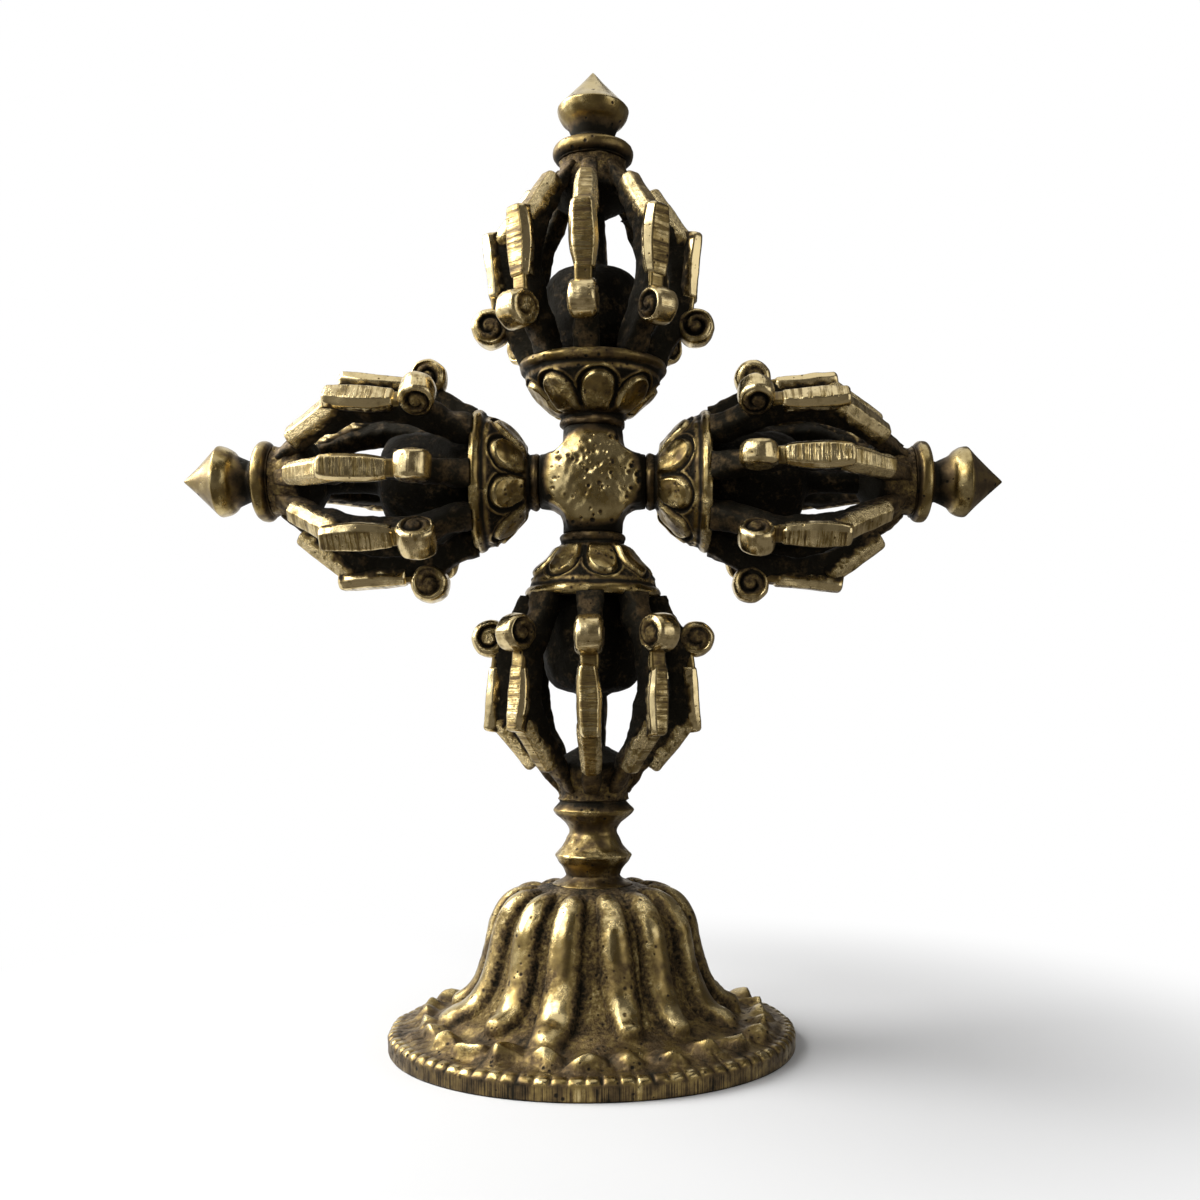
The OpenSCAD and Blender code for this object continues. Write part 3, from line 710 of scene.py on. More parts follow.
def prong_shells(shape, arm, seed):
    """One prong: web, scroll drum, long lens shaped bar, short sloping bar and neck, uneven by hand."""
    rng = np.random.default_rng(seed)
    # dull is painted shade on the filed flats, standing for the dark surroundings that they mirror.
    hand, rough, dull = shape.hand_work, TIP_ROUGH[arm], FLAT_PAINTED_SHADE[arm]
    drum_in, bar_in, tip_in = SET_IN[arm]
    drum_wide, bar_wide, tip_wide = PRONG_WIDE[arm]
    drum_up, bar_up = DRUM_UP - drum_in, BAR_UP - bar_in
    tip_up = CROWN_A - RIM_A - TIP_BELOW_CROWN - tip_in
    shells = Shells()
    web, shade = web_surface(shape.web_thickness / MM, hand, seed)
    shells.add(web, shade, cast=WEB_CAST)

    jitter = dict(zip(BY_HAND, rng.normal(size=len(BY_HAND)) * hand))
    radius = shape.drum_radius / MM * (0.97 + 0.03 * jitter["drum_radius"])
    width = drum_wide * shape.drum_width / MM * (1 + 0.05 * jitter["drum_width"])
    drum, shade, filed, cast = drum_surface(radius, width, hand, seed + 10)
    height = RIM_A + drum_up + 0.16 * jitter["drum_up"]
    centre = np.array([SCROLL_OUT_R - radius - 0.15, 0.1 * jitter["drum_aside"], height])
    grain = np.stack([drum[..., 1], np.arctan2(drum[..., 2], drum[..., 0]) * radius, drum[..., 0]], -1)
    shells.add(drum + centre, shade, filed, grain + DRUM_SHIFT * rng.random(3), cast)

    share = np.linspace(0, 1, BAR_ROWS)
    lens = 0.62 + 0.38 * np.sin(np.pi * np.clip(0.08 + 0.80 * share, 0, 1)) ** 1.1
    wide = 0.5 * bar_wide * shape.bar_width / MM * lens * (1 + 0.05 * jitter["long_width"])
    start = (LONG_R[0] + 0.08 * jitter["long_foot"], bar_up - 0.6)
    long_up = bar_up + BAR_LENGTH - 0.2 * bar_in + 0.2 * jitter["long_length"]
    end = (LONG_R[1] + 0.1 * jitter["long_head"], long_up)
    lean = 0.25 * jitter["lean"]
    bar, shade, filed, grain = bar_surface(start, end, wide, LONG_FILING, lean, hand, seed + 20)
    # dull * filed is painted shade on the long bar's filed flat.
    shells.add(bar, shade + dull * filed, filed, grain + BAR_SHIFT * rng.random(3))

    wide = tip_wide * (1.72 + 0.1 * np.sin(np.pi * share) - 0.34 * share)
    start = (SHORT_R[0] + 0.06 * jitter["short_foot"], bar_up + BAR_LENGTH - 1.0)
    end = (SHORT_R[1] + 0.7 * tip_in + 0.1 * jitter["short_head"], tip_up + 0.15 * jitter["short_up"])
    lean = 0.15 * jitter["lean"]
    bar, shade, filed, grain = bar_surface(start, end, wide, SHORT_FILING, lean, hand, seed + 30)
    low = bar[..., 2] - RIM_A - bar_up - 7.0
    shade = shade + 0.25 * rough * step(0.2, 0.8, lumps(bar, 1.2, seed + 37)) * (1 - filed)
    # dull * filed is painted shade on the short bar's filed flat.
    shade = shade + dull * filed + 0.08 * rough + 0.25 * (1 - step(-0.6, 0.4, low))
    shells.add(bar, shade, 0.6 * filed, grain + BAR_SHIFT * rng.random(3), rough * (1 - filed))

    wide = np.full(NECK_ROWS, NECK_HALF * (1 + 0.05 * jitter["drum_width"]))
    start, end = (NECK_R[0], drum_up + 1.6), (NECK_R[1], bar_up + 0.3)
    neck, shade, filed, grain = bar_surface(start, end, wide, NECK_FILING, 0.0, hand, seed + 36)
    shells.add(neck, shade + 0.3, 0.5 * filed, grain)
    return shells


# Crowns, finials and stem


def crown_surface(hand, seed):
    """Turned cap with a conical underside and eight soft ribs where the prong tips run into it."""
    low = CROWN_LOW_A
    corners = [
        (0.5, low - 1.4), (1.7, low - 1.4), (2.6, low - 0.9), (CROWN_R - 1.0, low + 0.1),
        (CROWN_R - 0.15, low + 0.7), (CROWN_R, low + 1.3), (CROWN_R - 0.2, low + 2.2), (4.8, low + 3.1),
        (4.3, low + 4.0), (4.12, low + 4.7), (4.18, CROWN_A - 0.04), (3.4, CROWN_A), (0.5, CROWN_A),
    ]
    grid = turned(curve(corners, count=64), columns=128)
    angle = np.arctan2(grid[..., 1], grid[..., 0])
    rib = 0.5 + 0.5 * np.cos(PRONGS_PER_ARM * angle)
    body = hump(grid[..., 2] - low - 2.2, 1.6)
    wave = uneven(grid, (0.03, 2.6), (0.012, 0.9), seed)
    grid = moved(grid, grid * ACROSS_ARM, body * (0.07 * rib - 0.05) + hand * wave)
    under = 1 - step(low + 0.4, low + 2.0, grid[..., 2])
    neck = step(low + 3.4, low + 4.6, grid[..., 2])
    patina = 0.45 + 0.55 * under + 0.2 * body * (1 - rib) + 0.14 * neck + 0.1 * lumps(grid, 1.8, seed + 2)
    return {"grid": grid, "patina": patina, "cast": 0.7}


def finial_corners():
    """Profile of a finial: hollowed collar, neck, round shoulder, edge and point."""
    seat, neck = CROWN_A + 0.02, CROWN_A + 2.2
    return [
        (0.5, seat), (4.1, seat), (4.26, seat + 0.18), (4.62, seat + 0.36), (COLLAR_R - 0.08, seat + 0.68),
        (COLLAR_R, seat + 1.15), (COLLAR_R - 0.1, seat + 1.62), (4.5, neck - 0.22), (3.6, neck + 0.02),
        (2.82, neck + 0.3), (2.5, neck + 0.75), (2.66, neck + 1.25), (3.2, KNOB_A - 2.2),
        (3.82, KNOB_A - 1.62), (4.2, KNOB_A - 1.0), (4.37, KNOB_A - 0.4), (4.4, KNOB_A - 0.1),
        (4.33, KNOB_A + 0.05), (4.06, KNOB_A + 0.32), (3.3, KNOB_A + 1.06), (2.15, KNOB_A + 2.26),
        (1.12, KNOB_A + 3.4), (0.36, FINIAL_TIP_A - 0.32), (0.08, FINIAL_TIP_A - 0.03),
    ]


def finial_surface(dull, hand, seed):
    """Turned finial with a dark neck, its collar, shoulder and point darkened by the given shares, which
    are partly patina and partly painted shade.
    """
    collar, shoulder, point = dull
    grid = turned(curve(finial_corners(), count=140), columns=112)
    grid = moved(grid, grid * ACROSS_ARM, hand * uneven(grid, (0.011, 4.5), (0.003, 1.2), seed))
    along = grid[..., 2]
    neck = hump(along - CROWN_A - 3.2, 1.5) * (1 - step(3.9, 4.2, np.hypot(grid[..., 0], grid[..., 1])))
    hollow = hump(along - CROWN_A - 0.2, 0.4)
    stations = (CROWN_A + 1.5, CROWN_A + 2.6, KNOB_A - 0.3, KNOB_A + 0.4)
    # dulled is the given darkening: patina on the collar, painted shade on the shoulder's underside and on
    # a point that faces away from the light.
    dulled = np.interp(along, stations, (collar, shoulder, shoulder, point))
    patina = 0.12 + dulled + 0.7 * neck + 0.45 * hollow + 0.1 * lumps(grid, 2.0, seed + 2)
    return {"grid": grid, "patina": patina}


def stem_surface(hand, seed):
    """Turned stem: hollowed collar, waist, sharp edged knop, lower waist and flare."""
    top, knop, low, foot = CROWN_A, STEM_END_A - 3.7, STEM_END_A - 1.2, STEM_END_A
    corners = [
        (0.5, top + 0.02), (4.0, top + 0.02), (4.14, top + 0.2), (4.46, top + 0.6),
        (COLLAR_R - 0.14, top + 1.0), (COLLAR_R, top + 1.24), (COLLAR_R - 0.1, top + 1.5),
        (4.66, top + 1.84), (4.1, top + 2.3), (3.45, top + 2.85), (3.02, top + 3.55), (2.98, top + 4.1),
        (3.25, top + 4.65), (3.75, knop - 1.05), (4.35, knop - 0.4), (4.7, knop), (4.56, knop + 0.4),
        (4.22, knop + 1.0), (3.7, knop + 1.6), (3.4, low - 0.2), (3.36, low + 0.15), (3.8, low + 0.55),
        (4.6, foot - 0.3), (4.95, foot - 0.05), (4.2, foot), (0.5, foot),
    ]
    grid = turned(curve(corners, count=140), columns=112)
    grid = moved(grid, grid * ACROSS_ARM, hand * uneven(grid, (0.014, 3.4), (0.006, 1.0), seed))
    along = grid[..., 2]
    edge = hump(along - knop, 0.6) + hump(along - top - 1.4, 0.3)
    waist = hump(along - top - 3.2, 1.1) + 1.3 * hump(along - low - 0.2, 0.7)
    hollow = hump(along - top - 0.3, 0.5)
    collar = 1 - step(1.6, 2.4, along - top)
    patina = 0.4 + 0.1 * collar - 0.26 * edge + 0.16 * waist + 0.4 * hollow
    return {
        "grid": grid,
        "patina": patina + 0.12 * lumps(grid, 1.6, seed + 2),
        "cast": 0.5 * step(0.1, 0.7, lumps(grid, 3.0, seed + 3)),
    }


# Pedestal. The bell is (share of the way out, share of the height, share of lobe relief).
BELL = (
    (0.0, 1.0, 0.0), (0.17, 0.955, 0.6), (0.34, 0.865, 1.0), (0.45, 0.725, 1.0), (0.5, 0.575, 0.95),
    (0.55, 0.415, 0.9), (0.63, 0.255, 0.9), (0.74, 0.13, 1.0), (0.87, 0.07, 0.95), (0.96, 0.03, 0.9),
)
LOBE_SHARE = 0.74
LOBE_HEAD_R = 6.7
LOBE_TOE_R = 17.9
RIM_H = 2.2
WEDGE_RING = 21.3
WEDGE_HALF = 2.1
WEDGE_H = 1.4
BEAD_GAP = 0.28
STROKE_DEPTH = 0.11
PED_COLUMNS = 7 * RIM_BEADS
# Rows of the foot ring and the hollow, which stay plain, and rows whose normals are evened over a mean.
UNDER_ROWS = 12
EVEN_ROWS = (12, 116)
EVEN_OVER = 21


def pedestal_rows():
    """Rows of the pedestal as (radius, height, share of lobe relief).

    They run from the top of the bell over skirt and rim, under the foot ring and up the hollow.
    """
    top_r, low_r, low_z = 5.3, PED_R - 6.4, RIM_H + 1.3
    top = [(0.3, PED_H, 0), (4.2, PED_H, 0)]
    bell = curve(BELL, 96)
    bell_r, bell_z = top_r + bell[:, 0] * (low_r - top_r), low_z + bell[:, 1] * (PED_H - low_z)
    bell = np.stack([bell_r, bell_z, bell[:, 2]], 1)
    skirt_r = np.linspace(bell[-1, 0] + 0.3, PED_R - 1.5, 30)
    skirt_z = np.interp(skirt_r, (bell[-1, 0], PED_R - 1.5), (bell[-1, 1], RIM_H + 0.42))
    skirt = np.stack([skirt_r, skirt_z, np.full_like(skirt_r, bell[-1, 2])], 1)
    rim = [
        (PED_R - 1.3, RIM_H + 0.42, 0), (PED_R - 0.9, RIM_H + 0.4, 0), (PED_R - 0.45, RIM_H + 0.3, 0),
        (PED_R - 0.12, RIM_H, 0), (PED_R, RIM_H - 0.4, 0), (PED_R - 0.02, 0.9, 0), (PED_R - 0.02, 0.3, 0),
        (PED_R - 0.2, 0.0, 0),
    ]
    hollow = [
        (PED_R - 1.5, 0, 0), (PED_R - 3, 0, 0), (PED_R - 3.2, 0.3, 0), (PED_R - 4.4, 1.2, 0),
        (14.2, 2.7, 0), (11.4, 7.0, 0), (9.0, 12.2, 0), (7.2, 14.9, 0), (5.6, 16.0, 0), (0.3, 16.1, 0),
    ]
    return np.concatenate([np.array(top, float), bell, skirt, curve(rim, 20), np.array(hollow, float)])


class Ground:
    """Plain turned pedestal on which the forms are raised, as arrays over its grid.

    turn is the share of a whole turn, r and z are radius and height, lobe is the share of lobe relief and
    flat holds the points. out_r and out_z are the normal: the tangent of the profile, evened and turned.
    """

    def __init__(self, hand, seed):
        profile = pedestal_rows()
        row = np.arange(len(profile))
        self.hand, self.seed, self.rng = hand, seed, np.random.default_rng(seed)
        self.turn = np.arange(PED_COLUMNS) / PED_COLUMNS
        self.angle = self.turn * TAU - np.pi / 2
        self.r, self.z, self.lobe = (profile[:, k][:, None] + 0 * self.angle for k in range(3))
        self.flat = self.points(self.r, self.z)
        self.outside = row[:, None] < len(profile) - UNDER_ROWS
        tangent = np.gradient(profile[:, :2], axis=0)
        tangent /= np.maximum(np.linalg.norm(tangent, axis=1, keepdims=True), 1e-9)
        mean = np.ones(EVEN_OVER) / EVEN_OVER
        even = np.stack([np.convolve(tangent[:, k], mean, "same") for k in (0, 1)], 1)
        bent = (row > EVEN_ROWS[0]) & (row < EVEN_ROWS[1])
        tangent = np.where(bent[:, None], even, tangent)
        self.out_r, self.out_z = -tangent[:, 1][:, None], tangent[:, 0][:, None]

    def points(self, r, z):
        """Points of the grid at the given radii and heights."""
        return np.stack([r * np.cos(self.angle), r * np.sin(self.angle), z], -1)

    def each(self, count, at):
        """One random value for each of count forms, given at every column that belongs to the form."""
        return self.hand * self.rng.normal(size=count)[at]

    def lumps(self, size, number):
        """Lumps over the ground, with a numbered seed."""
        return lumps(self.flat, size, self.seed + number)


def bell_lobes(ground, lobe_height):
    """Lobes of the bell, and thin veins in the valleys between them.

    A lobe is a round backed roll with a domed head and toe: 1 - across^2 - head^2 - toe^2, to the power
    0.5, drawn in to a point at the toe. Returns relief, roll and the line where a lobe meets the ground.
    """
    r, z = ground.r, ground.z
    pitch = ground.turn * LOBES
    index = np.floor(pitch).astype(int)
    size = 1 + 0.09 * ground.each(LOBES, index)
    lean = 0.12 * ground.each(LOBES, index)
    toe = LOBE_TOE_R + 0.55 * ground.each(LOBES, index)
    head = LOBE_HEAD_R + 0.3 * ground.each(LOBES, index)
    low = np.clip((PED_H - z) / (PED_H - RIM_H), 0, 1)
    sway = lean * low + 0.035 * ground.hand * ground.lumps(8.0, 6)
    slim = np.random.default_rng(ground.seed + 12).uniform(0.3, 0.72, LOBES)[index]
    point = slim * step(toe - 5.5, toe - 0.2, r)
    across = np.abs(2 * (pitch - index) - 1 + sway) / (LOBE_SHARE * size * (1 - point))
    under = np.clip((head + 2.4 - r) / 2.4, 0, 1)
    over = np.maximum(r - toe + 1.4, 0) / 1.4
    roll = ground.lobe * np.clip(1 - across**2 - under**2 - over**2, 0, 1) ** 0.5
    relief = lobe_height * roll * (1 + 0.08 * hump(r - toe + 1.6, 1.4))
    valley = np.rint(pitch).astype(int) % LOBES
    beside = (pitch - np.rint(pitch)) * TAU / LOBES * r
    beside = beside - 0.35 * ground.each(LOBES, valley) - 0.2 * ground.lumps(5.0, 7)
    on_bell = step(4.5, 6.5, z) * (1 - step(15.0, 17.5, z)) * ground.outside
    vein = 0.34 * np.abs(ground.each(LOBES, valley)) * hump(beside, 0.2) * on_bell * (across > 1)
    foot = hump(across - 1.0, 0.13) * (ground.lobe > 0) * (under < 1) * (over < 1)
    return relief + vein, roll, foot


def skirt_wedges(ground):
    """Wedges round the skirt, 0 to 1: blunt four sided pyramids, bent by lumps."""
    ring = ground.turn * WEDGES
    nearest = np.rint(ring).astype(int) % WEDGES
    out = ground.r - WEDGE_RING - 0.4 * ground.each(WEDGES, nearest) + 0.4 * ground.lumps(3.2, 8)
    aside = (ring - np.rint(ring)) * TAU / WEDGES * ground.r
    aside = aside + 0.6 * out * ground.each(WEDGES, nearest) + 0.4 * ground.lumps(2.8, 9)
    wide = WEDGE_HALF * (1 + 0.18 * ground.each(WEDGES, nearest))
    inward = np.where(out > 0, out / 1.1, out / 1.9)
    slope = (np.abs(aside / wide) ** 1.25 + np.abs(inward) ** 1.25) ** 0.8
    slope = np.hypot(slope, 0.12)
    peak = np.clip(soft_max(1.16 - slope, 0 * slope, 0.05), 0, 1)
    return ground.outside * (ground.z < 8) * step(18.3, 19.2, ground.r) * peak


def rim_beads(ground):
    """Beads along the rim and chisel strokes inside it, on one pitch.

    Returns the distance from the middle of a bead, the gap between two, and where beads and strokes are.
    """
    r, z = ground.r, ground.z
    bead = ground.turn * RIM_BEADS
    off = np.abs(2 * (bead % 1.0) - 1)
    depth = 0.5 + 0.8 * ground.rng.random(RIM_BEADS)
    gap = step(0.6, 1.0, off) * depth[np.rint(bead).astype(int) % RIM_BEADS]
    edge = ground.outside * step(PED_R - 1.3, PED_R - 0.8, r) * step(RIM_H - 0.4, RIM_H, z)
    patchy = 0.25 + 0.75 * step(-0.5, 0.6, ground.lumps(9.0, 10))
    stroke = ground.outside * step(PED_R - 4.6, PED_R - 2.6, r) * (z > RIM_H - 0.5) * (1 - edge) * patchy
    return off, gap, edge, stroke


def pedestal_surface(lobe_height, hand, seed):
    """Lotus pedestal: lobes, wedges, strokes and beads raised along the normal of its turned ground."""
    ground = Ground(hand, seed)
    r, z, outside = ground.r, ground.z, ground.outside
    relief, roll, foot = bell_lobes(ground, lobe_height)
    wedge = skirt_wedges(ground)
    off, gap, edge, stroke = rim_beads(ground)
    relief = relief + WEDGE_H * wedge * (1 - step(PED_R - 2.2, PED_R - 1.4, r))
    relief = relief - edge * (BEAD_GAP * gap + 0.06 * off**2) - STROKE_DEPTH * stroke * gap
    free = outside * step(0.02, 0.5, z) * (1 - step(PED_H - 0.6, PED_H - 0.1, z))
    wall = outside * step(PED_R - 0.35, PED_R - 0.1, r) * (1 - step(RIM_H - 0.7, RIM_H - 0.3, z))
    skirt = outside * step(16.0, 18.5, r) * (1 - step(PED_R - 2.5, PED_R - 1.5, r))
    wave = uneven(ground.flat, (0.06, 5.0), (0.016, 1.3), seed + 1)
    wave = wave + 0.24 * (skirt * (1 - np.clip(2 * roll, 0, 1))) * ground.lumps(5.2, 3)
    relief = relief + free * hand * wave * (1 - 0.85 * wall)
    radius = np.minimum(r + ground.out_r * relief, PED_R + 0.05)
    height = np.maximum(z + ground.out_z * relief, 0)
    grid = ground.points(radius, height)

    crest = step(0.45, 0.95, roll)
    bright = step(0.3, 0.8, wedge)
    platform = outside * (1 - step(6.0, 8.5, r)) * (z > 15)
    waist = crest * hump(z - 11.0, 3.8)
    patina = 0.53 - 0.38 * crest + 0.2 * waist - 0.32 * bright + 0.2 * foot + 0.2 * platform
    patina = patina - 0.3 * edge * (1 - gap) + (0.3 * edge + 0.14 * stroke) * gap - 0.1 * wall
    patina = np.where(outside, patina, 0.8) + uneven(grid, (0.12, 3.4), (0.06, 1.2), seed + 4)
    worn = step(0.1, 0.8, ground.lumps(4.4, 11)) * (0.3 + 0.7 * hump(z - 16.5, 3.0))
    calm = 1 - 0.6 * step(15.5, 18.0, r)
    rough = np.where(crest > 0, (1 - crest) + 0.9 * worn * crest, 1 - 0.7 * bright)
    cast = outside * calm * (1 - wall) * (1 - edge) * rough
    return {
        "grid": grid,
        "patina": np.clip(patina, 0, 1),
        "filed": wall,
        "grain": np.stack([height, 2.7 * ground.angle * PED_R + 0 * r, radius], -1),
        "cast": np.clip(cast, 0, 1),
    }


# Materials


class Wires:
    """A shader node tree with shorthands that add a node and hand back what comes out of it."""

    def __init__(self, tree):
        self.tree = tree

    def feed(self, socket, value):
        """Links a socket to an output, or sets its own number or colour."""
        if isinstance(value, bpy.types.NodeSocket):
            self.tree.links.new(value, socket)
        else:
            socket.default_value = value

    def node(self, kind, inputs=None, **settings):
        """New node with the given settings, its inputs fed by name or by number."""
        made = self.tree.nodes.new(kind)
        for name, setting in settings.items():
            setattr(made, name, setting)
        for socket, value in (inputs or {}).items():
            self.feed(made.inputs[socket], value)
        return made

    def math(self, operation, *values, clamp=False):
        """Math node of two or three values."""
        inputs = dict(enumerate(values))
        return self.node("ShaderNodeMath", inputs, operation=operation, use_clamp=clamp).outputs[0]

    def ramp(self, value, low, high, to_low=0.0, to_high=1.0):
        """Smooth map of a value from low..high to another range, clamped."""
        inputs = {"Value": value, "From Min": low, "From Max": high, "To Min": to_low, "To Max": to_high}
        return self.node("ShaderNodeMapRange", inputs, interpolation_type="SMOOTHSTEP").outputs["Result"]

    def noise(self, vector, scale, detail, roughness=0.55):
        """Noise texture, 0 to 1."""
        inputs = {"Vector": vector, "Scale": scale, "Detail": detail, "Roughness": roughness}
        return self.node("ShaderNodeTexNoise", inputs).outputs["Fac"]


def new_group(name, values, results):
    """Empty shader group with a Vector input, the named values and the named results.

    Returns its wires, the outputs of its start and the inputs of its end.
    """
    tree = bpy.data.node_groups.new(name, "ShaderNodeTree")
    tree.interface.new_socket(name="Vector", in_out="INPUT", socket_type="NodeSocketVector")
    for socket, value in values.items():
        made = tree.interface.new_socket(name=socket, in_out="INPUT", socket_type="NodeSocketFloat")
        made.default_value = value
    for socket in results:
        tree.interface.new_socket(name=socket, in_out="OUTPUT", socket_type="NodeSocketFloat")
    wires = Wires(tree)
    return wires, wires.node("NodeGroupInput").outputs, wires.node("NodeGroupOutput").inputs


def pit_group():
    """Casting pits: some cells of a cell texture become round dents. Puts out mask and height."""
    wires, given, result = new_group("Casting pits", {"Scale": 1500.0, "Amount": 0.3}, ("Mask", "Height"))
    inputs = {"Vector": given["Vector"], "Scale": given["Scale"]}
    cells = wires.node("ShaderNodeTexVoronoi", inputs).outputs
    pick = wires.node("ShaderNodeSeparateColor", {"Color": cells["Color"]}).outputs
    patches = wires.ramp(wires.noise(given["Vector"], 170.0, 2.0), 0.38, 0.62, 0.2, 1.7)
    chosen = wires.math("LESS_THAN", pick["Red"], wires.math("MULTIPLY", given["Amount"], patches))
    reach = wires.math("MULTIPLY_ADD", pick["Green"], 0.3, 0.15)
    dent = wires.ramp(cells["Distance"], 0.04, reach, 1.0, 0.0)
    mask = wires.math("MULTIPLY", dent, chosen)
    fine = wires.noise(given["Vector"], 5200.0, 2.0)
    wires.feed(result["Mask"], mask)
    wires.feed(result["Height"], wires.math("SUBTRACT", wires.math("MULTIPLY", fine, 0.22), mask))
    return wires.tree


def cast_group():
    """Rough casting: grains about a quarter of a millimetre across, on coarser ones. Puts out height."""
    wires, given, result = new_group("Rough casting", {"Scale": 2300.0}, ("Height",))
    grains = wires.noise(given["Vector"], given["Scale"], 5.0, 0.72)
    wires.feed(result["Height"], wires.ramp(grains, 0.3, 0.7))
    return wires.tree


def stroke_group():
    """File strokes: noise that is long across the grain and short along it. Puts out the stroke height."""
    wires, given, result = new_group("File strokes", {"Scale": 2100.0, "Reach": 0.05}, ("Height",))
    inputs = {"X": given["Reach"], "Y": 1.0, "Z": 0.1}
    stretch = wires.node("ShaderNodeCombineXYZ", inputs).outputs["Vector"]
    scaled = wires.node("ShaderNodeVectorMath", {0: given["Vector"], 1: stretch}, operation="MULTIPLY")
    strokes = wires.noise(scaled.outputs["Vector"], given["Scale"], 4.0, 0.7)
    wires.feed(result["Height"], wires.ramp(strokes, 0.42, 0.68))
    return wires.tree


def patina_group():
    """Patina level: the painted patina broken up by two noises.

    It is deeper in pits and strokes and worn off the grains of rough casting.
    """
    values = {"Patina": 0.3, "Pits": 0.0, "Strokes": 0.0, "Casting": 0.0}
    wires, given, result = new_group("Patina level", values, ("Level",))
    broad = wires.math("MULTIPLY", wires.noise(given["Vector"], 260.0, 4.0, 0.6), 0.32)
    fine = wires.math("MULTIPLY", wires.noise(given["Vector"], 1500.0, 4.0, 0.65), 0.42)
    break_up = wires.math("SUBTRACT", wires.math("ADD", broad, fine), 0.37)
    level = wires.math("ADD", given["Patina"], break_up)
    level = wires.math("ADD", level, wires.math("MULTIPLY", given["Pits"], 0.55))
    level = wires.math("SUBTRACT", level, wires.math("MULTIPLY", given["Casting"], 0.45))
    level = wires.math("ADD", level, wires.math("MULTIPLY", given["Strokes"], 0.4), clamp=True)
    wires.feed(result["Level"], level)
    return wires.tree


def blank_material(name):
    """New material with nothing but its output; returns it, its wires and its surface socket."""
    material = bpy.data.materials.new(name)
    material.use_nodes = True
    material.node_tree.nodes.clear()
    wires = Wires(material.node_tree)
    return material, wires, wires.node("ShaderNodeOutputMaterial").inputs["Surface"]


# Levels of patina at which the four colours of a finish stand, and the depth of one unit of relief.
COLOUR_STOPS = (0.05, 0.32, 0.58, 0.86)
RELIEF_DEPTH = 0.06 * MM


def brass_material(name, groups, colours, pit_scale, pit_amount, pit_depth):
    """Brass that is polished on its high places, dulled on its broad ones and dark in its hollows."""
    pit_tree, stroke_tree, cast_tree, patina_tree = groups
    _, wires, surface = blank_material(name)
    shader = wires.node("ShaderNodeBsdfPrincipled", {"Metallic": 1.0})
    wires.feed(surface, shader.outputs["BSDF"])
    place = wires.node("ShaderNodeTexCoord").outputs["Object"]

    def painted(layer, output="Fac"):
        return wires.node("ShaderNodeAttribute", attribute_name=layer).outputs[output]

    def group(tree, inputs):
        return wires.node("ShaderNodeGroup", inputs, node_tree=tree).outputs

    pit = group(pit_tree, {"Vector": place, "Scale": pit_scale, "Amount": pit_amount})
    stroke = group(stroke_tree, {"Vector": painted("grain", "Vector")})
    marks = wires.math("MULTIPLY", stroke["Height"], painted("filed"))
    casting = group(cast_tree, {"Vector": place})
    rough = painted("cast")
    grains = wires.math("MULTIPLY", wires.math("SUBTRACT", casting["Height"], 0.45), rough)
    inputs = {"Vector": place, "Patina": painted("patina")}
    inputs.update({"Pits": pit["Mask"], "Strokes": marks, "Casting": grains})
    level = group(patina_tree, inputs)["Level"]

    ramp = wires.node("ShaderNodeValToRGB", {"Fac": level})
    stops = ramp.color_ramp.elements
    for at in COLOUR_STOPS[1:3]:
        stops.new(at)
    for stop, at, colour in zip(stops, COLOUR_STOPS, colours):
        stop.position = at
        stop.color = (*colour, 1.0)
    wires.feed(shader.inputs["Base Color"], ramp.outputs["Color"])
    dull = wires.ramp(level, 0.1, 1.0, 0.22, 0.7)
    wires.feed(shader.inputs["Roughness"], wires.math("ADD", dull, wires.math("MULTIPLY", rough, 0.06)))
    cuts = wires.math("MULTIPLY", marks, 0.55)
    relief = wires.math("SUBTRACT", wires.math("MULTIPLY", pit["Height"], pit_depth), cuts)
    relief = wires.math("ADD", relief, wires.math("MULTIPLY", grains, 2.2))
    bump = wires.node("ShaderNodeBump", {"Strength": 1.0, "Distance": RELIEF_DEPTH, "Height": relief})
    wires.feed(shader.inputs["Normal"], bump.outputs["Normal"])


# Finish of each of the record's slots: name, then scale, amount and depth of its casting pits.
FINISHES = {
    "worn_brass": ("Worn brass", 1250.0, 0.34, 1.0),
    "filed_brass": ("Filed brass", 1900.0, 0.16, 0.5),
    "brown_brass": ("Brown brass", 1500.0, 0.3, 0.8),
    "dark_brass": ("Dark brass", 1100.0, 0.45, 1.4),
}
DARKER_PATINA = 0.6


def finishes():
    """Materials of the record's slots, made once."""
    if FINISHES["worn_brass"][0] not in bpy.data.materials:
        finish = bpy.context.scene.vajra_finish
        groups = pit_group(), stroke_group(), cast_group(), patina_group()
        for slot, (name, *pit_values) in FINISHES.items():
            bright = finish.filed if slot == "filed_brass" else finish.polished
            darkest = np.array(finish.patina) * (DARKER_PATINA if slot == "dark_brass" else 1.0)
            brass_material(name, groups, (bright, finish.olive, finish.brown, darkest), *pit_values)
    return {slot: bpy.data.materials[values[0]] for slot, values in FINISHES.items()}


# Operators


class VAJRA_OT_hub(bpy.types.Operator):
    """Build the pitted hub"""

    bl_idname = "vajra.hub"
    bl_label = "Hub"

    def execute(self, context):
        hand = context.scene.vajra_shape.hand_work
        build("hub", "worn_brass", hub_surface(hand, HUB_SEED), on_arm("top"))
        return {"FINISHED"}


class VAJRA_OT_cups(bpy.types.Operator):
    """Build the four lotus cups"""

    bl_idname = "vajra.cups"
    bl_label = "Lotus cups"

    def execute(self, context):
        shape = context.scene.vajra_shape
        for number, arm in enumerate(ARMS):
            height, seed = shape.petal_height / MM, CUP_SEED + ARM_STEP * number
            surface = cup_surface(height, RING_R[arm], RIM_DULL[arm], shape.hand_work, seed)
            place = on_arm(arm, np.radians(CUP_TURN[arm]), CUP_SIZE[arm])
            build(arm + "_cup", "worn_brass", surface, place)
        return {"FINISHED"}


